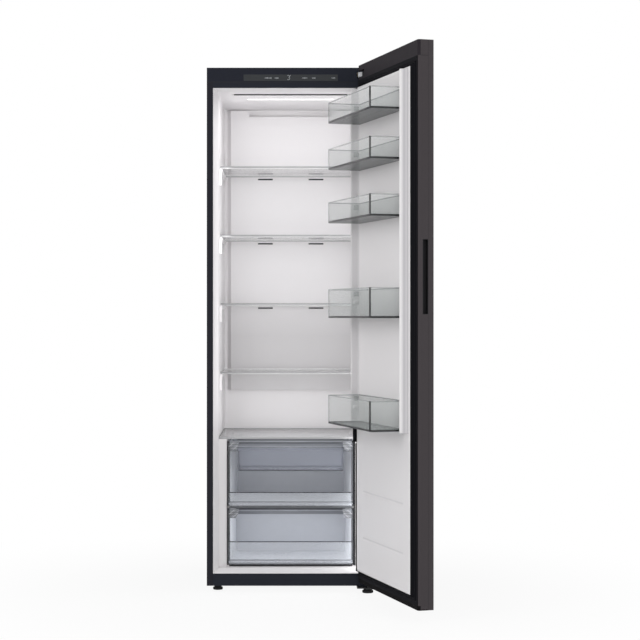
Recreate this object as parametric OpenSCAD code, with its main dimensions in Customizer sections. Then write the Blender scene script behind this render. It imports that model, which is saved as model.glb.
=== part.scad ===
// Tall single-door built-in refrigerator with its door standing open.
// +Z is up, +Y runs to the rear, the cabinet's front plane is Y = 0 and its middle is X = 0.

/* [Cabinet] */
// Width of the cabinet
cab_w = 595; // [585:1:605]
// Height of the cabinet's top above the floor
cab_top = 1857; // [1830:1:1890]
// Depth of the cabinet without its door
cab_d = 640; // [630:1:670]
// Gap between the floor and the cabinet's underside
floor_gap = 20; // [19:1:24]
// Thickness of the painted steel sheets
sheet_t = 0.8; // [0.6:0.1:1.2]
// Width of the steel frame around the mouth
frame_w = 22; // [21:1:25]
// Height of the plastic header
header_h = 52; // [48:1:56]
// Depth of the header
header_d = 30; // [30:1:36]
// Height of the steel rail over the mouth
upper_rail_h = 20; // [16:1:24]
// Height of the steel rail under the mouth
lower_rail_h = 45; // [40:1:50]
// Depth of both steel rails
rail_d = 20; // [16:1:24]

/* [Display strip] */
// Distance from the cabinet's side to the display strip
display_side = 130.5; // [122:0.5:150]
// Height of the display strip
display_h = 23; // [18:1:26]
// Middle of the display strip above the header's lower edge
display_up = 16.5; // [14:0.5:20]

/* [Liner] */
// Thickness of the white liner
liner_t = 2; // [1.5:0.1:2.5]
// Depth over which the mouth tapers in
lip_d = 30; // [26:1:36]
// How far the side walls step in from the mouth
lip_in = 17; // [15:1:20]
// How far the ceiling lies below the mouth's top
lip_drop = 10; // [8:1:12]
// How far the floor lies above the mouth's bottom
lip_rise = 15; // [12:1:17]
// Thickness of the rear wall, its recess included
rear_wall = 80; // [74:1:90]
// Depth of the evaporator's recess behind the rear wall
recess_d = 38; // [34:1:42]
// Radius of the liner's rear corners
corner_r = 12; // [8:1:12]
// How far the drawer space's walls step in from the side walls
crisper_in = 30; // [28:1:32]
// Depth at which the drawer space begins
crisper_d = 45; // [42:1:48]

/* [Shelves] */
// Number of glass shelves
shelf_count = 4; // [2:1:4]
// Height of the drawer cover's top
cover_z = 543; // [538:1:550]
// Lowest shelf's top above the drawer cover
first_gap = 231; // [215:1:240]
// Shelf spacing
shelf_pitch = 249; // [235:1:250]
// Thickness of a shelf's trims
trim_t = 8; // [7:0.5:10]
// Thickness of the glass plates
glass_t = 4; // [3:0.5:5]
// Depth at which a shelf's front edge lies
shelf_front = 150; // [146:1:160]
// Gap between a shelf and the air duct
shelf_rear_gap = 10; // [4:1:40]
// Thickness of the drawer cover
cover_t = 7; // [6.5:0.5:9]
// Depth at which the drawer cover begins
cover_front = 60; // [58:1:70]

/* [Drawers] */
// Gap over the lower drawer
lower_gap = 3; // [2:0.5:12]
// Gap over the upper drawer
upper_gap = 7; // [2:0.5:16]
// Height of the lower drawer's front wall
lower_front_h = 85; // [60:1:110]
// Height of the upper drawer's front wall
upper_front_h = 52; // [40:1:70]
// Wall of a drawer
drawer_wall = 3; // [2.5:0.5:4]
// Depth at which the drawers' fronts lie
drawer_front = 60; // [60:1:66]
// Radius of a drawer's lower edges
drawer_r = 12; // [6:1:16]
// Distance of the tray's top under the drawer's top
tray_drop = 36; // [30:1:44]
// Height of the tray that hangs in the upper drawer
tray_h = 74; // [60:1:84]
// Depth of the tray, front to back
tray_d = 170; // [140:1:200]

/* [Door] */
// Thickness of the door
door_t = 54; // [52:1:58]
// How far the door stands open
door_open = 106.4; // [100:0.2:112]
// Gap between the closed door and the cabinet
seal_gap = 6; // [6:0.5:8]
// How far the door rises over the cabinet's top
door_over = 1.5; // [0:0.5:3]
// Height of the door's lower edge above the floor
door_bottom = 38; // [38:1:44]
// Hinge axis behind the door's outer face
pivot_back = 20; // [19.5:0.5:21]
// Hinge axis from the door's side edge
pivot_side = 21.5; // [20:0.5:22]
// Depth of the outer pan
pan_d = 19; // [18:0.5:19]
// Height of the top cap's seam over the header's seam
cap_lift = 3; // [2:0.5:6]
// Height of the bottom cap
bottom_cap_h = 15; // [14:1:20]
// Height of the white liner over the door's inner face
door_liner_t = 15; // [13:1:16]
// Height of the side ridges over the door's inner face
ridge_h = 44.5; // [40:0.5:46]
// Gap between the door liner and the mouth
door_clear = 6.5; // [5:0.5:7.5]
// Length of the finger pocket
pocket_l = 240; // [200:1:280]
// Width of the finger pocket
pocket_w = 19; // [16:0.5:19]
// Depth of the finger pocket
pocket_d = 18; // [15:0.5:22]
// Height of the finger pocket's lower end above the floor
pocket_z = 982; // [940:1:1020]

/* [Door baskets] */
// Gap between a basket's end and the ridge beside it
basket_gap = 14; // [10:0.5:18]
// How far the baskets reach over the door's inner face
basket_reach = 135; // [125:1:137]
// Height of the three shallow baskets
shallow_h = 72; // [64:1:80]
// Height of the two deep baskets
deep_h = 99; // [90:1:110]
// Wall of a basket
basket_wall = 2.5; // [2:0.5:3]
// First basket's bottom below the mouth's top
basket_1_drop = 142; // [138:1:146]
// Second basket's bottom below the mouth's top
basket_2_drop = 303; // [296:1:310]
// Third basket's bottom below the mouth's top
basket_3_drop = 487; // [480:1:494]
// Fourth basket's bottom below the mouth's top
basket_4_drop = 815; // [808:1:822]
// Fifth basket's bottom below the mouth's top
basket_5_drop = 1180; // [1170:1:1184]

/* [Ground] */
// Diameter of the left foot's disc
left_foot_w = 35; // [30:1:38]
// Diameter of the right foot's disc
right_foot_w = 39; // [34:1:42]
// Left foot's distance behind the front plane
left_foot_y = 48; // [44:1:60]
// Diameter of a rear roller
roller_w = 30; // [28:1:32]
// Width of a rear roller
roller_t = 18; // [14:1:22]

/* [Machine room] */
// Depth of the machine room
mach_d = 215; // [205:1:220]
// Height of the machine room above the cabinet's underside
mach_h = 240; // [230:1:244]
// Diameter of the compressor's shell
comp_w = 150; // [130:1:160]
// Diameter of the evaporator's fan
air_fan_w = 92; // [80:1:100]

/* [Hidden] */
$fn = 48;

// Clearances
rest = 0.3;         // between a loose piece and what carries it
running = 0.05;     // radial, between a shaft and its hole
slip = 1;           // around pieces that slide past each other
eps = 1;            // how far a cutter runs past the face it opens

// Cabinet levels and planes
half = cab_w / 2;
half_in = half - sheet_t;
mouth_half = half - frame_w - 0.5;
header_z = cab_top - header_h;
mouth_top = header_z - upper_rail_h;
mouth_z = floor_gap + lower_rail_h;
ceiling_z = mouth_top - lip_drop;
floor_z = mouth_z + lip_rise;
wall_half = mouth_half - lip_in;
crisper_half = wall_half - crisper_in;
crisper_taper = 15;
rear_y = cab_d - sheet_t;
room_d = cab_d - rear_wall;

// Drawer space and machine room
cover_seat_z = cover_z - cover_t;
foam_wall = 30;
mach_y = cab_d - mach_d;
mach_z = floor_gap + mach_h;
step_y = mach_y - foam_wall;
step_z = mach_z + foam_wall - liner_t;
base_t = 1.2;
base_z = floor_gap + base_t;

// Shelves
shelf_half = wall_half - 3;
ledge_in = 9;
ledge_h = 12;
bracket_h = 60;
bracket_d = 30;
rear_trim_d = 14;
front_trim_d = 12;
function shelf_z(i) = cover_z + first_gap + shelf_pitch * (shelf_count - 1 - i);

// Rear air duct
duct_half = wall_half - 27;
duct_d = 20;
duct_flare = 14;
duct_t = 3;
duct_z = cover_z + 148;
duct_top = ceiling_z - 3;
outlet_half = duct_half - 71;
outlet_h = 24;
slot_w = 57;
slot_h = 4.5;
slot_x = 98;
slot_drop = 14;
duct_y = room_d - duct_d;
shelf_end = duct_y - shelf_rear_gap;

// Evaporator recess
recess_half = duct_half - 26;
recess_h = 350;
recess_z = duct_z + 12;
recess_top = recess_z + recess_h;
recess_y = room_d + recess_d;
coil_side = 25;
tube_r = 4;
tube_pitch = 38;
tube_rows = 5;
fin_pitch = 36;
fin_t = 1;
fin_h = 186;
fin_z = recess_z + 14;
fan_frame = 60;
fan_z = recess_top - fan_frame - 20;
motor_r = 20;
shaft_r = 3;
fan_plate_t = 3;
fan_plate_y = room_d + 6;

// Drain
drain_r = 8;
drain_y = room_d + recess_d / 2 + 6;
drain_hole_r = drain_r + 0.5;

// Ceiling lamp
cover_half = wall_half - 48;
lamp_half = cover_half - 53;
lamp_y = 195;
lamp_d = 50;
cover_y = 88;
cover_end = 262;
lamp_slit_y = 95;
lamp_slit_d = 8;
lamp_slit_half = cover_half - 6;
cover_drop = 4;

// Door
door_top = cab_top + door_over;
door_in = -seal_gap;
door_out = door_in - door_t;
pivot_y = door_out + pivot_back;
pivot_x = half - pivot_side;
pan_y = door_out + pan_d;
skin_r = 3;
edge_r = 8;
frame_t = 1;
cap_z = header_z + cap_lift;
bottom_cap_z = door_bottom + bottom_cap_h;
liner_half = mouth_half - door_clear;
liner_top = mouth_top - 6;
liner_bottom = mouth_z + 17;
liner_y = door_in + door_liner_t;
ridge_out = liner_half - 18.5;
ridge_tip = ridge_out - 4;
ridge_in = liner_half - 24.5;
ridge_y = door_in + ridge_h;
ridge_top = liner_top - 9;
ridge_z = mouth_top - basket_5_drop - 5;
door_sheet = 1.5;
rib_z = [365, 204];
rib_l = 400;
rib_h = 9;
rib_t = 1.5;
pocket_wall = 1.5;
pocket_y = pan_y;
pocket_in = -half + pocket_d;

// Seal
seal_out = half - 6.5;
seal_z0 = bottom_cap_z + 0.5;
seal_z1 = cap_z - 0.5;
bulb_in = liner_half + 0.3;
bulb_out = bulb_in + 10;
band_t = 2;
bulb_y = -0.4;

// Hinges
pin_r = 5;
pin_l = 36;
pin_eye_r = 11;
arm_w = 13;
arm_h = 16;
arm_z = header_z + 16;
arm_x = pivot_x - 31;
arm_room = 4;
boss_r = 12;
boss_l = 32;
plate_t = 4;
collar_r = 8;
seat_x0 = arm_x - 55;
seat_x1 = arm_x + 45;
seat_y0 = 3;
seat_y1 = header_d - 2;
low_plate_z = floor_gap - plate_t;
low_plate_x0 = pivot_x - 42;
low_plate_y = 72;
foot_x = pivot_x - 4;
foot_y = pivot_y + 16;
left_foot_x = -(half - 37.5);
stud_r = 5;
disc_h = 10;
screw_r = 3;
head_r = 5.5;
head_h = 3;
upper_bite = 12;
lower_bite = 8;
hex_gap = 2;

// Baskets
basket_drops = [basket_1_drop, basket_2_drop, basket_3_drop, basket_4_drop, basket_5_drop];
basket_heights = [shallow_h, shallow_h, shallow_h, deep_h, deep_h];
basket_half = ridge_in - basket_gap;
basket_r = 10;
basket_back = liner_y + 1;
basket_front = door_in + basket_reach;
ear_h = 22;
ear_y = liner_y + 4;
ear_d = 16;
ear_drop = 16;
lug_h = 12;
function basket_z(i) = mouth_top - basket_drops[i];

// Drawers
drawer_half = crisper_half - 2;
rail_t = 4.2;
rail_w = 14;
lower_z = floor_z + rail_t + rest;
upper_z = step_z + 6;
lower_top = upper_z - rest - rail_t - lower_gap;
upper_top = cover_seat_z - upper_gap;
lower_end = step_y - 10;
upper_end = room_d - 30;
tray_top = upper_top - tray_drop;
tray_z = tray_top - tray_h;
tray_lip = 2.5;
tray_y = drawer_front + 22;
tray_half = drawer_half - 36;
tray_ledge = 18;

// Rear rollers
roller_x = half - 67.5;
roller_y = cab_d - 40;
roller_z = roller_w / 2;
axle_r = 3;
ear_t = 3;

// Machine room contents
comp_x = half - 167.5;
comp_y = mach_y + 100;
mount_h = 12;
mount_r = 11;
comp_h = mach_h - 65;
comp_plate_x = 88;
comp_plate_y = 58;
comp_plate_t = 4;
comp_z = base_z + mount_h + comp_plate_t;
box_x = 28;
box_y = 50;
box_z = 55;
coil_l = 198;
coil_x0 = -(half - 29.5);
coil_x1 = coil_x0 + coil_l;
coil_d = 32;
coil_y0 = mach_y + 30;
coil_y1 = coil_y0 + coil_d;
coil_z = base_z + 34;
coil_h = mach_h - 104;
coil_tube_r = 3.5;
coil_rows = 6;
coil_pitch = (coil_h - 31) / (coil_rows - 1);
coil_fin = 18;
coil_plate = 2;
fan_w = coil_h - 10;
fan_rim = 2;
fan_y = mach_y + 72;
fan_d = 20;
fan_motor_r = 16;
fan_motor_d = 4;
fan_x = (coil_x0 + coil_x1) / 2;
fan_mid_z = coil_z + coil_h / 2;
fan_bar = 7;
pan_x0 = -roller_x + roller_t / 2 + 14;
pan_x1 = comp_x - comp_plate_x - 8;
pan_y0 = mach_y + 108;
pan_y1 = cab_d - 20;
pan_h = 24;
pan_wall = 3;
pipe_r = 4;
pipe_x = 22;
pipe_rise = 16;
gland_x = -40;
gland_z = base_z + 60;
gland_r = 8;
louvre_w = 44;
louvre_h = 7;
louvre_z = base_z + 96;
louvre_pitch = 18;
louvre_step = 60;

// A box between two corners
module block(lo, hi) translate(lo) cube(hi - lo);

// A plan outline in X and Y, raised from z0 to z1
module raise(z0, z1) translate([0, 0, z0]) linear_extrude(z1 - z0) children();

// A front outline in X and Z, run from y0 to y1
module run_y(y0, y1) translate([0, y1, 0]) rotate([90, 0, 0]) linear_extrude(y1 - y0) children();

// A side outline in Y and Z, run from x0 to x1
module run_x(x0, x1) translate([x0, 0, 0]) rotate([90, 0, 90]) linear_extrude(x1 - x0) children();

// A piece and its mirror image across the middle
module both() {
    children();
    mirror([1, 0, 0]) children();
}

// A rectangle with two rounded corners on its far side (top) and two on its near side (bottom)
module soft_rect(lo, hi, r_near, r_far) {
    near = max(r_near, 0.01);
    far = max(r_far, 0.01);
    translate([lo[0], lo[1] + near]) square([hi[0] - lo[0], hi[1] - lo[1] - near - far]);
    translate([lo[0] + near, lo[1]]) square([hi[0] - lo[0] - 2 * near, near]);
    translate([lo[0] + far, hi[1] - far]) square([hi[0] - lo[0] - 2 * far, far]);
    for (x = [lo[0] + near, hi[0] - near]) translate([x, lo[1] + near]) circle(near);
    for (x = [lo[0] + far, hi[0] - far]) translate([x, hi[1] - far]) circle(far);
}

// A hollow rectangle, from its outer corners and its wall
module ring_rect(lo, hi, w) difference() {
    translate(lo) square(hi - lo);
    translate(lo + [w, w]) square(hi - lo - 2 * [w, w]);
}

// Turns the closed door, and what rides on it, to where it stands open
module on_door() translate([pivot_x, pivot_y, 0]) rotate([0, 0, door_open])
    translate([-pivot_x, -pivot_y, 0]) children();

// Side outline of the inner space, grown by g, with the mouth run forward to y0
module side_outline(g, y0) polygon([[y0, mouth_z - g], [0, mouth_z - g], [lip_d, floor_z - g],
    [step_y + g, floor_z - g], [step_y + g, step_z - g], [room_d + g, step_z - g],
    [room_d + g, ceiling_z + g], [lip_d, ceiling_z + g], [0, mouth_top + g], [y0, mouth_top + g]]);

// Plan of the upper space, grown by g
module upper_plan(g, y0) {
    w = wall_half + g;
    m = mouth_half + g;
    polygon([[-m, y0], [m, y0], [m, 0], [w, lip_d], [w, room_d - corner_r],
        [-w, room_d - corner_r], [-w, lip_d], [-m, 0]]);
    soft_rect([-w, lip_d], [w, room_d + g], 0, corner_r + g);
}

// Plan of the drawer space, grown by g
module crisper_plan(g, y0) {
    w = wall_half + g;
    c = crisper_half + g;
    m = mouth_half + g;
    polygon([[-m, y0], [m, y0], [m, 0], [w, lip_d], [w, crisper_d + g], [c, crisper_d + crisper_taper + g],
        [c, room_d + g], [-c, room_d + g], [-c, crisper_d + crisper_taper + g], [-w, crisper_d + g],
        [-w, lip_d], [-m, 0]]);
}

// The inner space, grown by g, with the mouth run forward to y0
module inner_space(g, y0) {
    intersection() {
        raise(cover_seat_z - g, mouth_top + eps + g) upper_plan(g, y0);
        run_x(-half, half) side_outline(g, y0);
    }
    intersection() {
        raise(floor_gap, cover_seat_z) crisper_plan(g, y0);
        run_x(-half, half) side_outline(g, y0);
    }
    block([-recess_half - g, duct_y, recess_z - g], [recess_half + g, recess_y + g, recess_top + g]);
}

// The drain's way down from the recess to the machine room
module drain_bore() translate([0, drain_y, mach_z - 2 * eps])
    cylinder(r = drain_hole_r, h = recess_z - mach_z + 4 * eps);

// Side sheets, each with its return flange beside the mouth
module side_panels() color([0.15, 0.16, 0.19]) both() difference() {
    union() {
        block([half_in, 0, floor_gap], [half, cab_d, cab_top]);
        block([half - frame_w, 0, floor_gap], [half, sheet_t, header_z]);
    }
    translate([half - 11, -eps, mouth_z - 18]) rotate([-90, 0, 0]) cylinder(r = 2.5, h = sheet_t + 2 * eps);
}

module top_panel() color([0.15, 0.16, 0.19])
    block([-half_in, header_d, cab_top - sheet_t], [half_in, cab_d, cab_top]);

// Rear sheet, folded forward over the machine room and down its front
module rear_panel() color([0.55, 0.56, 0.58]) difference() {
    run_x(-half_in, half_in) polygon([[cab_d, cab_top - sheet_t], [cab_d, mach_z],
        [mach_y + sheet_t, mach_z], [mach_y + sheet_t, base_z], [mach_y, base_z],
        [mach_y, mach_z + sheet_t], [rear_y, mach_z + sheet_t], [rear_y, cab_top - sheet_t]]);
    drain_bore();
}

// Sheet floor with the rear rollers' ears and axles
module base_plate() color([0.6, 0.61, 0.62]) difference() {
    union() {
        block([-half_in, rail_d, floor_gap], [half_in, rear_y - 2, base_z]);
        both() for (side = [-1, 1]) translate([roller_x + side * (roller_t / 2 + ear_t / 2 + slip), 0, 0])
            block([-ear_t / 2, roller_y - 9, roller_z - 7], [ear_t / 2, roller_y + 9, base_z]);
        both() translate([roller_x - roller_t / 2 - slip - ear_t, roller_y, roller_z])
            rotate([0, 90, 0]) cylinder(r = axle_r, h = roller_t + 2 * slip + 2 * ear_t);
    }
    both() block([roller_x - roller_t / 2 - slip, roller_y - roller_w / 2 - 2, roller_z + axle_r + eps],
        [roller_x + roller_t / 2 + slip, roller_y + roller_w / 2 + 2, base_z + eps]);
    translate([left_foot_x, left_foot_y, 0]) cylinder(r = stud_r + running, h = base_z + eps);
    for (y = screw_rows) translate([low_plate_x0 + 14, y, 0]) cylinder(r = screw_r, h = base_z + eps);
}
screw_rows = [34, 60];

// Rigid foam between the outer sheets and the liner
module cabinet_foam() color([0.93, 0.88, 0.7]) difference() {
    block([-half_in, sheet_t, base_z], [half_in, rear_y, cab_top - sheet_t]);
    inner_space(liner_t, -eps);
    block([-half, 0, mouth_top], [half, header_d, cab_top]);
    block([-half, 0, floor_gap], [half, rail_d, mouth_z]);
    block([-half, mach_y, 0], [half, cab_d + eps, mach_z + sheet_t]);
    translate([left_foot_x, left_foot_y, base_z - eps]) cylinder(r = stud_r + slip, h = 30);
    for (y = screw_rows) translate([low_plate_x0 + 14, y, base_z - eps])
        cylinder(r = screw_r + slip, h = 14);
    drain_bore();
}

// White liner, open at the mouth
module inner_liner() color([0.93, 0.93, 0.93]) difference() {
    intersection() {
        inner_space(liner_t, 0);
        block([-half, sheet_t, 0], [half, cab_d, cab_top]);
    }
    inner_space(0, -eps);
    drain_bore();
}

// Steel rail over the mouth, with the seat for the upper hinge
module upper_rail() difference() {
    union() {
        block([-half_in, 0, mouth_top], [half_in, header_d, header_z]);
        block([seat_x0, seat_y0, header_z], [seat_x1, seat_y1, arm_z]);
    }
    block([-half, -eps, mouth_top - eps], [-half + frame_w, sheet_t, header_z + eps]);
    block([half - frame_w, -eps, mouth_top - eps], [half, sheet_t, header_z + eps]);
    block([-half_in + 2, 2, mouth_top + 2], [half_in - 2, header_d + eps, header_z - 2]);
    block([-mouth_half - liner_t, sheet_t, mouth_top - eps],
        [mouth_half + liner_t, lip_d, mouth_top + liner_t]);
    for (x = upper_screws) translate([x, (seat_y0 + seat_y1) / 2, header_z])
        cylinder(r = screw_r, h = arm_z - header_z + eps);
}
upper_screws = [seat_x0 + 12, seat_x0 + 34, seat_x1 - 12];

// Steel rail under the mouth
module lower_rail() difference() {
    block([-half_in, 0, floor_gap], [half_in, rail_d, mouth_z]);
    for (s = [-1, 1]) translate([s * (half - frame_w / 2), sheet_t / 2, 0])
        block([-frame_w / 2 - 0.1, -sheet_t / 2 - eps, floor_gap - eps],
            [frame_w / 2 + eps, sheet_t / 2, mouth_z + eps]);
    block([-half_in + 2, 2, floor_gap + 2], [half_in - 2, rail_d + eps, mouth_z - 4]);
    inner_space(liner_t, -eps);
}

// Both steel rails that join the side sheets across the front
module cross_rails() color([0.16, 0.17, 0.2]) {
    upper_rail();
    lower_rail();
}

// Plastic header with the display's window and the hinge arm's slot
module header_panel() color([0.15, 0.16, 0.19]) difference() {
    block([-half_in, 0, header_z], [half_in, header_d, cab_top]);
    block([-half_in + 2.5, 2.5, header_z - eps], [half_in - 2.5, header_d + eps, cab_top - 2.5]);
    block([-display_half, -eps, display_z0], [display_half, 2.5 + eps, display_z0 + display_h]);
    block([arm_x - arm_w / 2 - arm_room, -eps, arm_z - arm_room],
        [arm_x + arm_w / 2 + arm_room, 2.5 + eps, arm_z + arm_h + arm_room]);
}
display_half = half - display_side;
display_z0 = header_z + display_up - display_h / 2;
display_back = 3;

// Dark touch strip with its light guide behind
module display_panel() color([0.26, 0.27, 0.28]) {
    block([-display_half, 0.3, display_z0], [display_half, 2.5, display_z0 + display_h]);
    block([-display_half - 6, 2.5, display_z0 - display_back],
        [display_half + 6, 8, display_z0 + display_h + display_back]);
}

module control_board() color([0.1, 0.35, 0.2]) {
    block([-display_half + 10, 8, display_z0], [display_half - 10, 9.6, display_z0 + display_h]);
    for (x = [-0.6, -0.2, 0.2, 0.6]) translate([x * display_half, 0, 0])
        block([-9, 9.6, display_z0 + 4], [9, 16, display_z0 + display_h - 4]);
}

// White cover that holds the ceiling lamp
module ceiling_cover() color([0.92, 0.92, 0.92]) difference() {
    block([-cover_half, cover_y, ceiling_z - cover_drop], [cover_half, cover_end, ceiling_z]);
    block([-lamp_slit_half, lamp_slit_y, ceiling_z - cover_drop - eps],
        [lamp_slit_half, lamp_slit_y + lamp_slit_d, ceiling_z + eps]);
    block([-lamp_half, lamp_y, ceiling_z - cover_drop - eps],
        [lamp_half, lamp_y + lamp_d, ceiling_z + eps]);
}

module lamp_lens() color([1, 1, 0.97])
    block([-lamp_half, lamp_y, ceiling_z - cover_drop - 1], [lamp_half, lamp_y + lamp_d, ceiling_z]);

// Rear air duct, a flared tray with slots under each shelf and an outlet at the top
module duct_cover() color([0.9, 0.9, 0.9]) difference() {
    raise(duct_z, duct_top) difference() {
        polygon([[-duct_half - duct_flare, room_d], [-duct_half, duct_y], [duct_half, duct_y],
            [duct_half + duct_flare, room_d]]);
        polygon([[-duct_half - duct_flare + duct_t + 1, room_d + eps],
            [-duct_half + duct_t, duct_y + duct_t],
            [duct_half - duct_t, duct_y + duct_t], [duct_half + duct_flare - duct_t - 1, room_d + eps]]);
    }
    for (i = [0 : shelf_count - 1], s = [-1, 1]) translate([s * slot_x, 0, shelf_z(i) - slot_drop])
        block([-slot_w / 2, duct_y - eps, -slot_h], [slot_w / 2, duct_y + duct_t + eps, 0]);
    block([-outlet_half, duct_y - eps, duct_top - outlet_h],
        [outlet_half, duct_y + duct_t + eps, duct_top + eps]);
}

// Finned coil that cools the air
module evaporator() color([0.75, 0.77, 0.79]) {
    end = recess_half - coil_side;
    for (row = [0 : tube_rows - 1], y = [room_d + 3 * tube_r, recess_y - 10 + tube_r])
        translate([-end, y - tube_r, fin_z + 16 + tube_pitch * row]) rotate([0, 90, 0])
            cylinder(r = tube_r, h = 2 * end);
    for (x = [-end + 9 : fin_pitch : end - 9]) block([x, room_d + 1, fin_z],
        [x + fin_t, recess_y - 2, fin_z + fin_h]);
    for (s = [-1, 1]) block([s * (end - 2) - 1.5, room_d + 1, recess_z + 8],
        [s * (end - 2) + 1.5, recess_y, fin_z + fin_h + 6]);
}

// Plate across the recess with the fan's opening, its feet, its motor and its shaft
module evaporator_fan_housing() color([0.85, 0.85, 0.86]) {
    difference() {
        block([-recess_half, fan_plate_y, fan_z - fan_frame],
            [recess_half, fan_plate_y + fan_plate_t, fan_z + fan_frame]);
        translate([0, fan_plate_y - eps, fan_z]) rotate([-90, 0, 0])
            cylinder(r = air_fan_w / 2 + 3, h = fan_plate_t + 2 * eps);
    }
    for (s = [-1, 1]) block([s * (recess_half - 2) - 2, fan_plate_y + fan_plate_t, fan_z - fan_frame],
        [s * (recess_half - 2) + 2, recess_y, fan_z + fan_frame]);
    translate([0, recess_y - 8, fan_z]) rotate([-90, 0, 0]) cylinder(r = motor_r, h = 8);
    translate([0, fan_plate_y, fan_z]) rotate([-90, 0, 0])
        cylinder(r = shaft_r, h = recess_y - 4 - fan_plate_y);
}

// A fan: a hub with a bore of r, and its blades, turning about +Y
module fan(r_out, r_bore, depth) rotate([-90, 0, 0]) difference() {
    union() {
        cylinder(r = r_out * 0.3, h = depth);
        intersection() {
            for (i = [0 : 4]) rotate([0, 0, 72 * i]) translate([r_out * 0.25, 0, depth / 2])
                rotate([28, 0, 0]) block([0, -r_out * 0.32, -0.9], [r_out * 0.78, r_out * 0.32, 0.9]);
            cylinder(r = r_out, h = depth);
        }
    }
    translate([0, 0, -eps]) cylinder(r = r_bore, h = depth + 2 * eps);
}

module evaporator_fan() color([0.3, 0.31, 0.33]) translate([0, fan_plate_y + 2, fan_z])
    fan(air_fan_w / 2, shaft_r + running, recess_d - 18);

// Catch tray under the evaporator and its tube to the drip pan
module drain_channel() color([0.8, 0.82, 0.84]) difference() {
    union() {
        block([-recess_half + 2, room_d, recess_z], [recess_half - 2, recess_y, recess_z + 8]);
        translate([0, drain_y, base_z + pan_h + 6])
            cylinder(r = drain_r, h = recess_z - base_z - pan_h - 6);
    }
    block([-recess_half + 4, room_d + 2, recess_z + 2],
        [recess_half - 4, recess_y - 2, recess_z + 8 + eps]);
    translate([0, drain_y, 0]) cylinder(r = drain_r - 2, h = recess_z + 8);
}

// White ledges and front brackets that carry one shelf
module shelf_ledge(i) both() {
    top = shelf_z(i) - trim_t - rest;
    block([wall_half - ledge_in, shelf_front + 4, top - ledge_h], [wall_half, shelf_end - 6, top]);
    block([wall_half - ledge_in + 2, shelf_front + 4, top - bracket_h],
        [wall_half, shelf_front + 4 + bracket_d, top - ledge_h]);
}

// Strip on each wall that a drawer slides on, its top at z
module drawer_strip(z) both()
    block([crisper_half - rail_w, drawer_front + 4, z - rail_t], [crisper_half, step_y - 3, z]);

// All the ledges and strips on the inner walls
module inner_runners() color([0.95, 0.95, 0.95]) {
    for (i = [0 : shelf_count - 1]) shelf_ledge(i);
    drawer_strip(lower_z - rest);
    drawer_strip(upper_z - rest);
}

// Trims of the drawer cover, resting on the step over the drawer space
module crisper_frame() color([0.8, 0.82, 0.84]) {
    block([-shelf_half - 2, cover_front, cover_seat_z + rest], [shelf_half + 2, cover_front + 14, cover_z]);
    block([-shelf_half - 2, duct_y - 16, cover_seat_z + rest], [shelf_half + 2, duct_y - 2, cover_z]);
}

module crisper_glass() color([0.75, 0.8, 0.82, 0.6])
    block([-shelf_half - 2, cover_front + 14, cover_z - glass_t - 1],
        [shelf_half + 2, duct_y - 16, cover_z - 1]);

// One shelf's glass plate, and its front and rear trims
module shelf_glass(i) color([0.8, 0.85, 0.87, 0.5])
    block([-shelf_half, shelf_front + front_trim_d, shelf_z(i) - glass_t - 1],
        [shelf_half, shelf_end - rear_trim_d, shelf_z(i) - 1]);

module shelf_trims(i) color([0.82, 0.84, 0.86]) {
    block([-shelf_half, shelf_front, shelf_z(i) - trim_t],
        [shelf_half, shelf_front + front_trim_d, shelf_z(i)]);
    block([-shelf_half, shelf_end - rear_trim_d, shelf_z(i) - trim_t],
        [shelf_half, shelf_end, shelf_z(i)]);
}

// An open-fronted drawer with a low front wall and stiff front corners
module drawer(z0, z1, front_h, y1) difference() {
    run_y(drawer_front, y1) soft_rect([-drawer_half, z0], [drawer_half, z1], drawer_r, 0);
    intersection() {
        run_y(drawer_front + drawer_wall, y1 - drawer_wall)
            soft_rect([-drawer_half + drawer_wall, z0 + drawer_wall], [drawer_half - drawer_wall, z1 + 10],
                drawer_r - drawer_wall, 0);
        block([-half, 0, 0], [half, cab_d, cab_top]);
    }
    run_y(drawer_front - eps, drawer_front + drawer_wall + eps) polygon([
        [-drawer_half + drawer_wall, z0 + front_h], [drawer_half - drawer_wall, z0 + front_h],
        [drawer_half - drawer_wall, z1 - 30], [drawer_half - 30, z1 + eps],
        [-drawer_half + 30, z1 + eps], [-drawer_half + drawer_wall, z1 - 30]]);
}

module drawer_upper() color([0.62, 0.65, 0.69, 0.8]) {
    drawer(upper_z, upper_top, upper_front_h, upper_end);
    both() block([drawer_half - tray_ledge, tray_y, tray_top - tray_lip - rest - 4],
        [drawer_half - drawer_wall, upper_end - drawer_wall, tray_top - tray_lip - rest]);
}

module drawer_lower() color([0.62, 0.65, 0.69, 0.8]) drawer(lower_z, lower_top, lower_front_h, lower_end);

// Shallow tray that hangs by its lips on the upper drawer's ledges
module drawer_tray() color([0.7, 0.73, 0.77, 0.7]) {
    difference() {
        block([-tray_half, tray_y, tray_z], [tray_half, tray_y + tray_d, tray_top]);
        block([-tray_half + 2.5, tray_y + 2.5, tray_z + 2.5],
            [tray_half - 2.5, tray_y + tray_d - 2.5, tray_top + eps]);
    }
    both() block([tray_half, tray_y, tray_top - tray_lip],
        [drawer_half - drawer_wall - slip, tray_y + tray_d, tray_top]);
}

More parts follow.
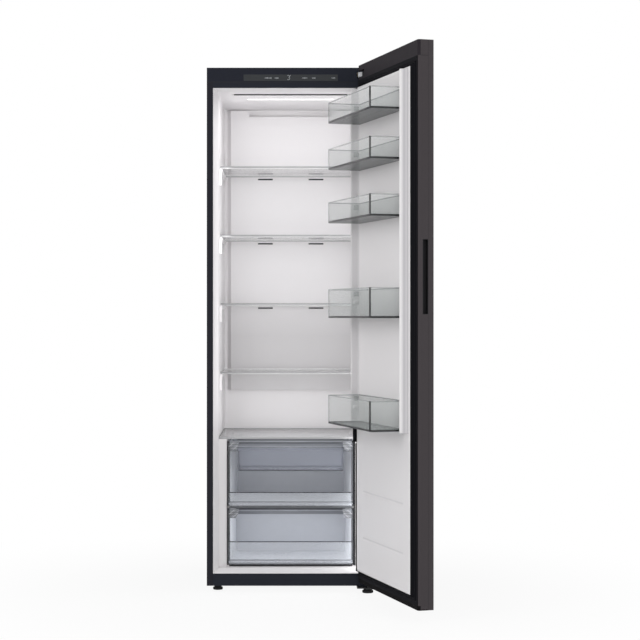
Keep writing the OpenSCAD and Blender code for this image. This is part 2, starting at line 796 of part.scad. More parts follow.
// Compressor: a domed steel shell with its terminal box, on a foot plate
module compressor() color([0.12, 0.12, 0.13]) {
    r = comp_w / 2;
    dome = r * 0.45;
    translate([comp_x, comp_y, comp_z]) rotate_extrude() polygon(concat([[0, 0]],
        [for (a = [0 : 15 : 90]) [r * sin(a), dome * (1 - cos(a))]],
        [for (a = [90 : -15 : 0]) [r * sin(a), comp_h - dome * (1 - cos(a))]], [[0, comp_h]]));
    block([comp_x - comp_plate_x, comp_y - comp_plate_y, base_z + mount_h],
        [comp_x + comp_plate_x, comp_y + comp_plate_y, comp_z + 2 * comp_plate_t]);
    translate([comp_x + r - 6, comp_y - box_y / 2, comp_z + comp_h * 0.35]) cube([box_x, box_y, box_z]);
}

module compressor_mounts() color([0.08, 0.08, 0.08]) for (x = [-1, 1], y = [-1, 1])
    translate([comp_x + x * (comp_plate_x - mount_r - 1), comp_y + y * (comp_plate_y - mount_r - 1), base_z])
        cylinder(r = mount_r, h = mount_h);

// Finned condenser on its end plates, with the fan's plate, motor and shaft
module condenser() color([0.2, 0.2, 0.21]) {
    for (row = [0 : coil_rows - 1], y = [coil_y0 + coil_d / 4, coil_y1 - coil_d / 4])
        translate([coil_x0, y, coil_z + 14 + coil_pitch * row]) rotate([0, 90, 0])
            cylinder(r = coil_tube_r, h = coil_l);
    for (x = [coil_x0 + coil_fin : coil_fin : coil_x1 - coil_fin])
        block([x, coil_y0, coil_z], [x + fin_t, coil_y1, coil_z + coil_h]);
    for (x = [coil_x0, coil_x1 - coil_plate]) block([x, coil_y0, base_z],
        [x + coil_plate, fan_y, coil_z + coil_h]);
    difference() {
        block([coil_x0, fan_y, base_z], [coil_x1, fan_y + coil_plate, coil_z + coil_h]);
        translate([fan_x, fan_y - eps, fan_mid_z]) rotate([-90, 0, 0])
            cylinder(r = fan_w / 2 + fan_rim, h = coil_plate + 2 * eps);
    }
    block([coil_x0, fan_y, fan_mid_z - fan_bar], [coil_x1, fan_y + coil_plate, fan_mid_z + fan_bar]);
    translate([fan_x, fan_y + coil_plate, fan_mid_z]) rotate([-90, 0, 0]) {
        cylinder(r = fan_motor_r, h = fan_motor_d);
        cylinder(r = shaft_r, h = fan_motor_d + fan_d);
    }
}

module condenser_fan() color([0.85, 0.86, 0.87])
    translate([fan_x, fan_y + coil_plate + fan_motor_d + rest, fan_mid_z])
    fan(fan_w / 2, shaft_r + running, fan_d);

// Shallow pan that catches the drain water
module drip_pan() color([0.85, 0.85, 0.83]) difference() {
    block([pan_x0, pan_y0, base_z], [pan_x1, pan_y1, base_z + pan_h]);
    block([pan_x0 + pan_wall, pan_y0 + pan_wall, base_z + pan_wall],
        [pan_x1 - pan_wall, pan_y1 - pan_wall, base_z + pan_h + eps]);
}

// Louvred cover over the machine room
module machine_cover() color([0.25, 0.25, 0.27]) difference() {
    block([-half_in, rear_y - 1.2, base_z], [half_in, cab_d, mach_z]);
    for (z = [louvre_z : louvre_pitch : mach_z - 30])
        for (x = [-half + 77 : louvre_step : half - 77 - louvre_w]) translate([x, 0, z])
        block([0, rear_y - 1.2 - eps, 0], [louvre_w, cab_d + eps, louvre_h]);
    translate([gland_x, rear_y - 1.2 - eps, gland_z]) rotate([-90, 0, 0])
        cylinder(r = gland_r, h = 4 + eps);
}

// A round pipe through a list of corners
module pipe(path) {
    for (i = [0 : len(path) - 2]) {
        run = path[i + 1] - path[i];
        translate(path[i]) rotate([0, acos(run[2] / norm(run)), atan2(run[1], run[0])])
            cylinder(r = pipe_r, h = norm(run));
    }
    for (i = [1 : len(path) - 2]) translate(path[i]) sphere(r = pipe_r);
}

module refrigerant_pipes() color([0.72, 0.45, 0.3]) {
    low = comp_z + comp_h - 0.8;
    top = comp_z + comp_h + pipe_rise;
    x = comp_x - pipe_x;
    y = coil_y0 + coil_d / 4;
    z = coil_z + coil_h - 4;
    pipe([[x, comp_y, low], [x, comp_y, top], [x, y, top], [coil_x1 + 20, y, top], [coil_x1 + 20, y, z],
        [coil_x1, y, z]]);
    pipe([[comp_x + pipe_x, comp_y, low], [comp_x + pipe_x, comp_y, mach_z]]);
}

// Ribbed bush where the mains lead enters
module cord_gland() color([0.05, 0.05, 0.05]) translate([gland_x, cab_d, gland_z])
    rotate([-90, 0, 0]) difference() {
    union() {
        translate([0, 0, -4]) cylinder(r = gland_r, h = 4);
        cylinder(r = gland_r + 3, h = 3);
        translate([0, 0, -8]) cylinder(r = gland_r + 2, h = 6);
    }
    translate([0, 0, -8 - eps]) cylinder(r = gland_r / 2, h = 14);
}

// Steel arm of the upper hinge: foot plate on its seat, hooked bar and pin
module upper_hinge() color([0.75, 0.76, 0.78]) {
    w = arm_w / 2;
    difference() {
        union() {
            raise(arm_z, arm_z + arm_h) {
                polygon([[arm_x - w, seat_y0], [arm_x - w, pivot_y + 14], [pivot_x - 4, pivot_y - 10],
                    [pivot_x + 8, pivot_y + 7], [arm_x + w, pivot_y + 22], [arm_x + w, seat_y0]]);
                translate([pivot_x, pivot_y]) circle(pin_eye_r);
            }
            block([seat_x0, seat_y0, arm_z], [seat_x1, seat_y1, arm_z + plate_t]);
        }
        for (x = upper_screws) translate([x, (seat_y0 + seat_y1) / 2, arm_z - eps])
            cylinder(r = screw_r, h = plate_t + 2 * eps);
    }
    translate([pivot_x, pivot_y, arm_z - pin_l]) cylinder(r = pin_r, h = pin_l + 1);
}

// Steel plate of the lower hinge with its pin, its collar and the right foot's thread
module lower_hinge() color([0.12, 0.12, 0.13]) {
    difference() {
        raise(low_plate_z, floor_gap) difference() {
            union() {
                translate([low_plate_x0, pivot_y]) square([half - 2 - low_plate_x0, low_plate_y - pivot_y]);
                translate([pivot_x - 10, pivot_y - 14]) square([26, 20]);
            }
            for (y = screw_rows) translate([low_plate_x0 + 14, y]) circle(screw_r);
        }
        translate([foot_x, foot_y, 0]) cylinder(r = stud_r + running, h = floor_gap + eps);
    }
    translate([pivot_x, pivot_y, floor_gap - 1]) {
        cylinder(r = collar_r, h = door_bottom - floor_gap + 1 - rest);
        cylinder(r = pin_r, h = door_bottom - floor_gap + 1 + pin_l - 8);
    }
}

// Screws that hold both hinges
module hinge_screws() color([0.6, 0.6, 0.62]) {
    for (x = upper_screws) translate([x, (seat_y0 + seat_y1) / 2, arm_z + plate_t]) {
        cylinder(r = head_r, h = head_h);
        translate([0, 0, -plate_t - upper_bite]) cylinder(r = screw_r, h = plate_t + upper_bite);
    }
    for (y = screw_rows) translate([low_plate_x0 + 14, y, low_plate_z]) {
        translate([0, 0, -head_h]) cylinder(r = head_r, h = head_h);
        cylinder(r = screw_r, h = plate_t + base_t + lower_bite);
    }
}

// A levelling foot: disc, hexagon and stud
module foot(x, y, w, top) color([0.07, 0.07, 0.07]) translate([x, y, 0]) {
    rotate_extrude() polygon([[0, 0], [w / 2 - 1.5, 0], [w / 2, 1.5], [w / 2, disc_h - 3],
        [w / 2 - 4, disc_h], [0, disc_h]]);
    translate([0, 0, disc_h]) cylinder(r = stud_r + 3, h = low_plate_z - hex_gap - disc_h, $fn = 6);
    cylinder(r = stud_r, h = top);
}

module foot_left() foot(left_foot_x, left_foot_y, left_foot_w, base_z + 18);
module foot_right() foot(foot_x, foot_y, right_foot_w, floor_gap + 10);

// A rear roller with a grooved tread
module roller(s) color([0.2, 0.2, 0.21]) translate([s * roller_x - roller_t / 2, roller_y, roller_z])
    rotate([0, 90, 0]) rotate_extrude() polygon([[axle_r + running, 0], [roller_w / 2 - 1, 0],
        [roller_w / 2, 1],
        [roller_w / 2, roller_t - 1], [roller_w / 2 - 1, roller_t], [axle_r + running, roller_t]]);

module roller_left() roller(-1);
module roller_right() roller(1);

// Plan of the closed door, shrunk by g
module door_plan(g) soft_rect([-half + g, door_out + g],
    [half - g, door_in - g], max(skin_r - g, 0), max(edge_r - g, 0));

// Plan of the upper hinge's pocket in the closed door
module hinge_pocket_plan() {
    polygon([[pivot_x - 43, door_in + 2], [pivot_x - 43, pivot_y + 10], [pivot_x - 10, pivot_y - 13],
        [pivot_x + 14, pivot_y - 5], [half + 2, pivot_y + 1], [half + 2, door_in + 2]]);
    translate([pivot_x, pivot_y]) circle(pin_eye_r + 2);
}

// Outer steel pan of the door, wrapped around its edges
module door_skin() color([0.29, 0.27, 0.28]) on_door() difference() {
    raise(door_bottom, door_top) intersection() {
        door_plan(0);
        translate([-half - eps, door_out - eps]) square([cab_w + 2 * eps, pan_d + eps]);
    }
    raise(door_bottom + sheet_t, door_top - sheet_t) intersection() {
        door_plan(sheet_t);
        translate([-half - eps, door_out - eps]) square([cab_w + 2 * eps, pan_d + 2 * eps]);
    }
    translate([pivot_x, pivot_y, door_bottom - eps]) cylinder(r = pin_r + slip, h = sheet_t + 2 * eps);
}

// Steel side frames between the caps
module door_side_frames() color([0.29, 0.27, 0.28]) on_door() difference() {
    raise(bottom_cap_z, cap_z) difference() {
        intersection() {
            door_plan(0);
            translate([-half - eps, pan_y]) square([cab_w + 2 * eps, door_t]);
        }
        door_plan(frame_t);
        translate([-liner_half - 3, pan_y - eps]) square([2 * liner_half + 6, door_t]);
    }
    block([-half - eps, pocket_y - eps, pocket_z],
        [-half + frame_t + eps, pocket_y + pocket_w, pocket_z + pocket_l]);
}

// Front outline of the door liner, shrunk by g
module liner_face(g) soft_rect([-liner_half + g, liner_bottom + g],
    [liner_half - g, liner_top - g], 10, 10);

// Plan of one ridge beside the baskets, shrunk by g
module ridge_plan(g) polygon([[ridge_in + g, door_in - 2], [ridge_in + g, ridge_y - 3 - g],
    [ridge_tip, ridge_y - g],
    [ridge_out - g, ridge_y - 5 - g], [liner_half - g - 3, liner_y - 1],
        [liner_half - g - 3, door_in - 2]]);

// The flat raised part of the door liner, shrunk by g
module liner_slab(g) run_y(door_in - 2, liner_y - g) liner_face(g);

// Both ridges of the door liner, shrunk by g
module liner_ridges(g) both() raise(ridge_z + g, ridge_top - g) ridge_plan(g);

// Foam that fills the door
module door_foam() color([0.93, 0.88, 0.7]) on_door() difference() {
    union() {
        raise(door_bottom + sheet_t, door_top - sheet_t) intersection() {
            door_plan(sheet_t);
            translate([-half, door_out]) square([cab_w, pan_d]);
        }
        raise(bottom_cap_z, cap_z) intersection() {
            door_plan(frame_t);
            translate([-half, pan_y - eps]) square([cab_w, door_t]);
        }
        liner_slab(door_sheet);
    }
    block([-half - eps, pocket_y - pocket_wall, pocket_z - pocket_wall],
        [pocket_in + pocket_wall, pocket_y + pocket_w + pocket_wall, pocket_z + pocket_l + pocket_wall]);
    translate([pivot_x, pivot_y, door_bottom]) cylinder(r = boss_r, h = bottom_cap_h + boss_l);
    translate([pivot_x, pivot_y, cap_z - boss_l]) cylinder(r = boss_r, h = boss_l + door_top);
    raise(arm_z - arm_room, arm_z + arm_h + arm_room) hinge_pocket_plan();
}

// Foam that fills the ridges beside the baskets
module door_ridge_cores() color([0.93, 0.88, 0.7]) on_door() difference() {
    liner_ridges(door_sheet);
    block([-half, door_in - 3, 0], [half, liner_y - door_sheet, cab_top]);
}

// White liner of the door, with the ridges and the lugs that carry the baskets
module door_liner() color([0.93, 0.93, 0.93]) on_door() difference() {
    union() {
        block([-liner_half - 3, door_in - frame_t, bottom_cap_z], [liner_half + 3, door_in, cap_z]);
        intersection() {
            union() {
                liner_slab(0);
                liner_ridges(0);
            }
            block([-half, door_in - frame_t, 0], [half, half, cab_top]);
        }
        both() for (i = [0 : 4]) lug(i);
        for (z = rib_z) block([-rib_l / 2, liner_y - 0.5, z - rib_h / 2],
            [rib_l / 2, liner_y + rib_t, z + rib_h / 2]);
    }
    liner_slab(door_sheet);
    liner_ridges(door_sheet);
    translate([pivot_x, pivot_y, cap_z - boss_l]) cylinder(r = boss_r, h = boss_l + eps);
}

// One lug on a ridge's inner face, under a basket's ear
module lug(i) {
    top = basket_z(i) + basket_heights[i] - ear_drop - ear_h;
    block([basket_half + rest + 1, ear_y, top - lug_h - rest], [ridge_in + 0.5, ear_y + ear_d, top - rest]);
}

// Black magnetic seal: a flat band up to the caps with a raised bulb
module door_gasket() color([0.06, 0.06, 0.07]) on_door() {
    run_y(door_in, door_in + band_t) difference() {
        translate([-seal_out, seal_z0]) square([2 * seal_out, seal_z1 - seal_z0]);
        seal_plan(bulb_in);
    }
    run_y(door_in, bulb_y) difference() {
        seal_plan(bulb_out);
        seal_plan(bulb_in);
    }
}

// A rectangle round the door's liner, whose half width is a
module seal_plan(a) {
    grow = a - liner_half;
    translate([-a, liner_bottom - grow]) square([2 * a, liner_top - liner_bottom + 2 * grow]);
}

// Plastic cap of the door's top, with the upper hinge's pocket and bush
module door_top_cap() color([0.25, 0.24, 0.25]) on_door() difference() {
    union() {
        raise(cap_z, door_top) intersection() {
            door_plan(0);
            translate([-half - eps, pan_y]) square([cab_w + 2 * eps, door_t]);
        }
        translate([pivot_x, pivot_y, cap_z - boss_l]) cylinder(r = boss_r, h = boss_l + 4);
    }
    block([-half + 3, pan_y - eps, cap_z + 3], [pivot_x - 60, door_in - 3, door_top - 3]);
    raise(arm_z - arm_room, arm_z + arm_h + arm_room) intersection() {
        hinge_pocket_plan();
        translate([-half, pan_y - 14]) square([cab_w + 10, door_t + 20]);
    }
    translate([pivot_x, pivot_y, cap_z - boss_l - eps])
        cylinder(r = pin_r + running, h = boss_l + arm_z - cap_z);
    raise(cap_z, arm_z - arm_room) intersection() {
        translate([-half, door_out - eps]) square([cab_w, pan_d + eps]);
        door_plan(-1);
    }
}

// Plastic cap of the door's bottom, with the lower hinge's bush
module door_bottom_cap() color([0.1, 0.1, 0.11]) on_door() difference() {
    union() {
        raise(door_bottom, bottom_cap_z) intersection() {
            door_plan(0);
            translate([-half - eps, pan_y]) square([cab_w + 2 * eps, door_t]);
        }
        translate([pivot_x, pivot_y, door_bottom + sheet_t])
            cylinder(r = boss_r, h = bottom_cap_h + boss_l - sheet_t);
    }
    block([-half + 3, pan_y - eps, door_bottom + 3], [pivot_x - 30, door_in - 3, bottom_cap_z - 3]);
    translate([pivot_x, pivot_y, door_bottom - eps]) cylinder(r = pin_r + running, h = pin_l + 2);
}

// Black finger pocket in the door's free edge
module handle_pocket() color([0.05, 0.05, 0.05]) on_door() difference() {
    block([-half, pocket_y, pocket_z], [pocket_in + pocket_wall, pocket_y + pocket_w, pocket_z + pocket_l]);
    block([-half - eps, pocket_y + pocket_wall, pocket_z + pocket_wall],
        [-half + pocket_d, pocket_y + pocket_w - pocket_wall, pocket_z + pocket_l - pocket_wall]);
}

// A clear basket with round front corners and an ear at each end
module basket(i) color([0.6, 0.66, 0.66, 0.6]) on_door() translate([0, 0, basket_z(i)]) {
    h = basket_heights[i];
    difference() {
        raise(0, h) soft_rect([-basket_half, basket_back], [basket_half, basket_front], 0, basket_r);
        raise(basket_wall, h + eps) soft_rect([-basket_half + basket_wall, basket_back + basket_wall],
            [basket_half - basket_wall, basket_front - basket_wall], 0, basket_r - basket_wall);
    }
    both() block([basket_half, ear_y, h - ear_drop - ear_h],
        [ridge_in - slip, ear_y + ear_d, h - ear_drop]);
}

side_panels();
top_panel();
rear_panel();
base_plate();
cabinet_foam();
inner_liner();
cross_rails();
header_panel();
display_panel();
control_board();
ceiling_cover();
lamp_lens();
duct_cover();
evaporator();
evaporator_fan_housing();
evaporator_fan();
drain_channel();
inner_runners();
crisper_frame();
crisper_glass();
compressor();
compressor_mounts();
condenser();
condenser_fan();
drip_pan();
machine_cover();
refrigerant_pipes();
cord_gland();
upper_hinge();
lower_hinge();
hinge_screws();
foot_left();
foot_right();
roller_left();
roller_right();
shelf_glass(0);  // shelf_1_glass
shelf_trims(0);  // shelf_1_trims
shelf_glass(1);  // shelf_2_glass
shelf_trims(1);  // shelf_2_trims
shelf_glass(2);  // shelf_3_glass
shelf_trims(2);  // shelf_3_trims
shelf_glass(3);  // shelf_4_glass
shelf_trims(3);  // shelf_4_trims
drawer_upper();
drawer_lower();
drawer_tray();
door_skin();
door_side_frames();
door_foam();
door_ridge_cores();
door_liner();
door_gasket();
door_top_cap();
door_bottom_cap();
handle_pocket();
basket(0);  // basket_1
basket(1);  // basket_2
basket(2);  // basket_3
basket(3);  // basket_4
basket(4);  // basket_5
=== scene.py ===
import math

import bpy
import numpy as np
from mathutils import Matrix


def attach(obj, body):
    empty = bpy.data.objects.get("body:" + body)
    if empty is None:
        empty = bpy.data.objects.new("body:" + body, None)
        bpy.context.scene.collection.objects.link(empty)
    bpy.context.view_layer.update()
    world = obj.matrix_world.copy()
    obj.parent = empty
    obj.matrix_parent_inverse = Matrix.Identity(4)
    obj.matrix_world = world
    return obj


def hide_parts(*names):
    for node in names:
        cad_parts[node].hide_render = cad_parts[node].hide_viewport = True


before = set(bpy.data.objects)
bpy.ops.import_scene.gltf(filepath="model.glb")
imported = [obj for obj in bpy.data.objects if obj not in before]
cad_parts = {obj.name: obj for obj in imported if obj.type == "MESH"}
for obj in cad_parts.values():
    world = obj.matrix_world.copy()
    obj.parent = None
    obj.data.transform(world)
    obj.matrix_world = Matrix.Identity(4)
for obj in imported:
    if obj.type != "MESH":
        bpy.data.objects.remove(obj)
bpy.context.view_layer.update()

scene = bpy.context.scene
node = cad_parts


# ---- Camera ----
# The photograph is a one-point view: the camera is level and square to the cabinet's front,
# so the object's place left of the middle is a small sideways shift of the lens.
photo_side, focal_length = 640, 1651    # in pixels of the photograph
view = bpy.data.cameras.new("photo_view")
view.sensor_width = 36
view.lens = view.sensor_width * focal_length / photo_side
view.shift_x = 29.3 / photo_side
view.shift_y = -4.1 / photo_side
view.clip_end = 100
eye = bpy.data.objects.new("photo_eye", view)
eye.location = (0, -5.854, 0.977)
eye.rotation_euler = (math.pi / 2, 0, 0)
scene.collection.objects.link(eye)
scene.camera = eye


# ---- Studio ----
# A pale floor that fades to the white surround, three wide soft lamps in front, and a white world.
# The world's lighting strength is set apart from the white that the camera and gloss see.
scene.view_settings.view_transform = "Standard"


def seen_directly(tree):
    """One where a ray comes from the camera, a mirror or glass, and zero for plain light.

    It is the largest of three ray tests."""
    path = tree.nodes.new("ShaderNodeLightPath")
    first = tree.nodes.new("ShaderNodeMath")
    first.operation = "MAXIMUM"
    tree.links.new(path.outputs["Is Camera Ray"], first.inputs[0])
    tree.links.new(path.outputs["Is Glossy Ray"], first.inputs[1])
    both = tree.nodes.new("ShaderNodeMath")
    both.operation = "MAXIMUM"
    tree.links.new(first.outputs[0], both.inputs[0])
    tree.links.new(path.outputs["Is Transmission Ray"], both.inputs[1])
    return both.outputs[0]


world = bpy.data.worlds.new("studio_world")
scene.world = world
world.use_nodes = True
sky = world.node_tree
sky.nodes.clear()
sky_light = sky.nodes.new("ShaderNodeBackground")
sky_light.inputs["Color"].default_value = (1, 1, 1, 1)
sky_light.inputs["Strength"].default_value = 0.6
sky_seen = sky.nodes.new("ShaderNodeBackground")
sky_seen.inputs["Color"].default_value = (1, 1, 1, 1)
sky_seen.inputs["Strength"].default_value = 1.0
sky_mix = sky.nodes.new("ShaderNodeMixShader")
sky_out = sky.nodes.new("ShaderNodeOutputWorld")
sky.links.new(seen_directly(sky), sky_mix.inputs[0])
sky.links.new(sky_light.outputs[0], sky_mix.inputs[1])
sky.links.new(sky_seen.outputs[0], sky_mix.inputs[2])
sky.links.new(sky_mix.outputs[0], sky_out.inputs[0])


def floor_paint():
    """Matt pale floor that shows nine tenths white where it is seen directly, and wholly white from 1.7 m on."""
    m = bpy.data.materials.new("pale_floor")
    m.use_nodes = True
    t = m.node_tree
    t.nodes.clear()
    place = t.nodes.new("ShaderNodeTexCoord")
    reach = t.nodes.new("ShaderNodeVectorMath")
    reach.operation = "LENGTH"
    t.links.new(place.outputs["Object"], reach.inputs[0])
    fade = t.nodes.new("ShaderNodeMapRange")
    fade.interpolation_type = "SMOOTHSTEP"
    fade.inputs["From Min"].default_value = 0.4
    fade.inputs["From Max"].default_value = 1.7
    fade.inputs["To Min"].default_value = 0.9
    t.links.new(reach.outputs["Value"], fade.inputs["Value"])
    share = t.nodes.new("ShaderNodeMath")
    share.operation = "MULTIPLY"
    t.links.new(fade.outputs[0], share.inputs[0])
    t.links.new(seen_directly(t), share.inputs[1])
    matt = t.nodes.new("ShaderNodeBsdfDiffuse")
    matt.inputs["Color"].default_value = (0.88, 0.88, 0.88, 1)
    white = t.nodes.new("ShaderNodeEmission")
    white.inputs["Color"].default_value = (1, 1, 1, 1)
    white.inputs["Strength"].default_value = 1.0
    mix = t.nodes.new("ShaderNodeMixShader")
    out = t.nodes.new("ShaderNodeOutputMaterial")
    t.links.new(share.outputs[0], mix.inputs[0])
    t.links.new(matt.outputs[0], mix.inputs[1])
    t.links.new(white.outputs[0], mix.inputs[2])
    t.links.new(mix.outputs[0], out.inputs[0])
    return m


floor_mesh = bpy.data.meshes.new("studio_floor")
floor_reach, floor_level = 30, -0.0004
floor_corners = [(x * floor_reach, y * floor_reach, floor_level) for x, y in ((-1, -1), (1, -1), (1, 1), (-1, 1))]
floor_mesh.from_pydata(floor_corners, [], [(0, 1, 2, 3)])
floor_mesh.materials.append(floor_paint())
studio_floor = bpy.data.objects.new("studio_floor", floor_mesh)
scene.collection.objects.link(studio_floor)


def soft_lamp(name, place, target, width, height, watts):
    """Rectangular soft lamp that faces a point: its -Z axis is turned to the line from place to target.

    The lamp itself isn't seen by the camera or in gloss."""
    lamp = bpy.data.lights.new(name, "AREA")
    lamp.shape = "RECTANGLE"
    lamp.size = width
    lamp.size_y = height
    lamp.energy = watts
    holder = bpy.data.objects.new(name, lamp)
    holder.location = place
    gap = np.array(target, float) - np.array(place, float)
    holder.rotation_euler = (math.acos(-gap[2] / np.linalg.norm(gap)), 0, math.atan2(gap[1], gap[0]) - math.pi / 2)
    holder.visible_camera = False
    holder.visible_glossy = False
    scene.collection.objects.link(holder)


soft_lamp("front_lamp", (-0.3, -6.2, 1.3), (0, 0, 0.95), 3.2, 3.2, 60)
soft_lamp("left_lamp", (-3.2, -3.0, 1.9), (0, -0.1, 0.95), 1.8, 2.6, 45)
soft_lamp("right_lamp", (3.4, -2.6, 1.9), (0, -0.1, 0.95), 1.8, 2.6, 22)


# ---- Steel cabinet ----
# Two bent side sheets, the top sheet and the rails across the front, all steel in a dark blue-grey
# coat baked on after forming. The coat has a fine orange peel and a satin gloss.
def finish(name, colour, rough, fleck=0.04, fleck_size=0.02, peel=0.02, peel_size=0.0012, metal=0.0, gloss=0.5):
    """Solid finish: colour times 1 + fleck * (2 * noise - 1), with noise from 0 to 1.

    The same noise moves the roughness by 0.05 each way, and a finer one, peel_size wide, makes the bump."""
    m = bpy.data.materials.new(name)
    m.use_nodes = True
    t = m.node_tree
    skin = t.nodes["Principled BSDF"]
    place = t.nodes.new("ShaderNodeTexCoord")
    cloud = t.nodes.new("ShaderNodeTexNoise")
    cloud.inputs["Scale"].default_value = 1 / fleck_size
    cloud.inputs["Detail"].default_value = 3
    t.links.new(place.outputs["Object"], cloud.inputs["Vector"])
    tint = t.nodes.new("ShaderNodeMix")
    tint.data_type = "RGBA"
    tint.inputs["A"].default_value = tuple(c * (1 - fleck) for c in colour) + (1,)
    tint.inputs["B"].default_value = tuple(min(c * (1 + fleck), 1) for c in colour) + (1,)
    t.links.new(cloud.outputs["Fac"], tint.inputs["Factor"])
    t.links.new(tint.outputs["Result"], skin.inputs["Base Color"])
    wear = t.nodes.new("ShaderNodeMapRange")
    wear.inputs["To Min"].default_value = max(rough - 0.05, 0)
    wear.inputs["To Max"].default_value = rough + 0.05
    t.links.new(cloud.outputs["Fac"], wear.inputs["Value"])
    t.links.new(wear.outputs[0], skin.inputs["Roughness"])
    grain = t.nodes.new("ShaderNodeTexNoise")
    grain.inputs["Scale"].default_value = 1 / peel_size
    grain.inputs["Detail"].default_value = 2
    t.links.new(place.outputs["Object"], grain.inputs["Vector"])
    bump = t.nodes.new("ShaderNodeBump")
    bump.inputs["Strength"].default_value = peel
    bump.inputs["Distance"].default_value = 0.0005
    t.links.new(grain.outputs["Fac"], bump.inputs["Height"])
    t.links.new(bump.outputs[0], skin.inputs["Normal"])
    skin.inputs["Metallic"].default_value = metal
    skin.inputs["Specular IOR Level"].default_value = gloss
    return m


def dress(names, material):
    """Gives the material to every named CAD node, in all its slots."""
    for name in names:
        mesh = node[name].data
        mesh.materials.clear()
        mesh.materials.append(material)


frame_coat = finish("frame_coat", (0.0125, 0.0125, 0.0185), 0.5, peel=0.06, gloss=0.16)
dress(["side_panels", "top_panel"], frame_coat)
rail_coat = finish("rail_coat", (0.0125, 0.0145, 0.022), 0.5, peel=0.06, gloss=0.16)
dress(["cross_rails"], rail_coat)


# ---- Rear sheet, base plate and foam ----
# The rear sheet and the floor of the cabinet are bare zinc-coated steel with a faint spangle.
# Between them and the liner the cabinet is filled with pale yellow rigid foam. Long pressed beads stiffen the
# sheet, screws hold its edges, and round plugs close the holes through which the foam was poured.
def loft(rings, edge=0.0, joined=False):
    """Skin over rings of points: point j of ring i meets point j + 1 and ring i + 1.

    The two end rings are closed by flat faces, or where joined is true the last ring meets the first.
    A skin whose signed volume comes out negative is turned, so its faces point outwards."""
    rings = np.asarray(rings, float)
    m, n = rings.shape[:2]
    span = m if joined else m - 1
    i, j = np.meshgrid(np.arange(span), np.arange(n), indexing="ij")
    k, l = (i + 1) % m, (j + 1) % n
    quads = np.stack([i * n + j, i * n + l, k * n + l, k * n + j], -1).reshape(-1, 4)
    points = rings.reshape(-1, 3)
    a, b, c, d = (points[quads[:, s]] for s in range(4))
    volume = np.einsum("ij,ij->", a, np.cross(b, c)) + np.einsum("ij,ij->", a, np.cross(c, d))
    faces = quads.tolist()
    if not joined:
        first, last = np.arange(n)[::-1], (m - 1) * n + np.arange(n)
        for cap in (first, last):
            hub = points[cap[0]]
            volume += np.einsum("j,ij->", hub, np.cross(points[cap[1:-1]], points[cap[2:]]))
            faces.append(cap.tolist())
    if volume < 0:
        faces = [f[::-1] for f in faces]
    return points, faces, np.broadcast_to(np.asarray(edge, float), (m, n)).reshape(-1)


def build(name, skins, material, body, stands_for=(), smooth=35):
    """One mesh from several skins, in metres, with their edge values, which say how far each point is darkened, mostly
    as painted shade, kept as a point attribute.
    """
    points, faces, marks, start = [], [], [], 0
    for p, f, e in skins:
        points.append(p)
        marks.append(e)
        faces += [[v + start for v in face] for face in f]
        start += len(p)
    mesh = bpy.data.meshes.new(name)
    mesh.from_pydata(np.concatenate(points) / 1000, [], faces)
    mesh.attributes.new("edge", "FLOAT", "POINT").data.foreach_set("value", np.concatenate(marks))
    mesh.polygons.foreach_set("use_smooth", np.ones(len(faces), bool))
    mesh.set_sharp_from_angle(angle=math.radians(smooth))
    mesh.materials.append(material)
    piece = bpy.data.objects.new(name, mesh)
    scene.collection.objects.link(piece)
    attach(piece, body)
    if stands_for:
        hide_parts(*stands_for)
    return piece


def bar(lo, hi, soft=0.8):
    """Rings of a straight bar with softened long edges, carried along its longest axis."""
    lo, hi = np.asarray(lo, float), np.asarray(hi, float)
    ax = int(np.argmax(hi - lo))
    u, v = [k for k in range(3) if k != ax]
    s = min(soft, 0.45 * (hi - lo)[u], 0.45 * (hi - lo)[v])
    flat = np.array([(lo[u] + s, lo[v]), (hi[u] - s, lo[v]), (hi[u], lo[v] + s), (hi[u], hi[v] - s),
                     (hi[u] - s, hi[v]), (lo[u] + s, hi[v]), (lo[u], hi[v] - s), (lo[u], lo[v] + s)])
    middle = np.array([(lo[u] + hi[u]) / 2, (lo[v] + hi[v]) / 2])
    near = middle + (flat - middle) * (1 - s / (hi - lo)[[u, v]])
    rings = np.zeros((4, 8, 3))
    for k, (at, shape) in enumerate(((lo[ax], near), (lo[ax] + s, flat), (hi[ax] - s, flat), (hi[ax], near))):
        rings[k, :, ax] = at
        rings[k][:, [u, v]] = shape
    return rings


def lathe(profile, centre, axis="z", n=32, teeth=0):
    """Rings of a turned shape: each row (radius, height, ripple) of the profile becomes a circle.

    The circle's radius is radius + ripple * cos(teeth * angle)."""
    a = np.linspace(0, 2 * np.pi, n, endpoint=False)
    r, h, ripple = np.array([tuple(row) + (0,) * (3 - len(row)) for row in profile], float).T[:, :, None]
    reach = r + ripple * np.cos(teeth * a)
    u, v, w = reach * np.cos(a), reach * np.sin(a), np.broadcast_to(h, reach.shape)
    return np.stack([u, v, w] if axis == "z" else [u, w, v], -1) + np.asarray(centre, float)


zinc_coat = finish("zinc_coat", (0.42, 0.43, 0.44), 0.42, fleck=0.12, fleck_size=0.012, peel=0.03, metal=0.85)
dress(["rear_panel", "base_plate"], zinc_coat)
foam_skin = finish("foam_skin", (0.83, 0.74, 0.5), 0.85, fleck=0.08, fleck_size=0.006, peel=0.5, peel_size=0.0015)
dress(["cabinet_foam"], foam_skin)
rear_y = 640
beads = [loft(bar((x - 8, rear_y - 0.4, 420), (x + 8, rear_y + 1.4, 1790), 1.5)) for x in (-170, 0, 170)]
build("rear_beads", beads, zinc_coat, "cabinet")
pan_head = [(3.9, 0), (3.9, 0.7), (3.3, 1.4), (2.0, 1.9), (1.5, 1.9), (1.1, 0.9), (0.1, 0.8)]
screw_places = [(x, z) for x in (-288, 288) for z in (330, 690, 1050, 1410, 1770)]
screw_places += [(x, 1848) for x in (-200, -70, 70, 200)]
screws = [loft(lathe(pan_head, (x, rear_y, z), "y", 20)) for x, z in screw_places]
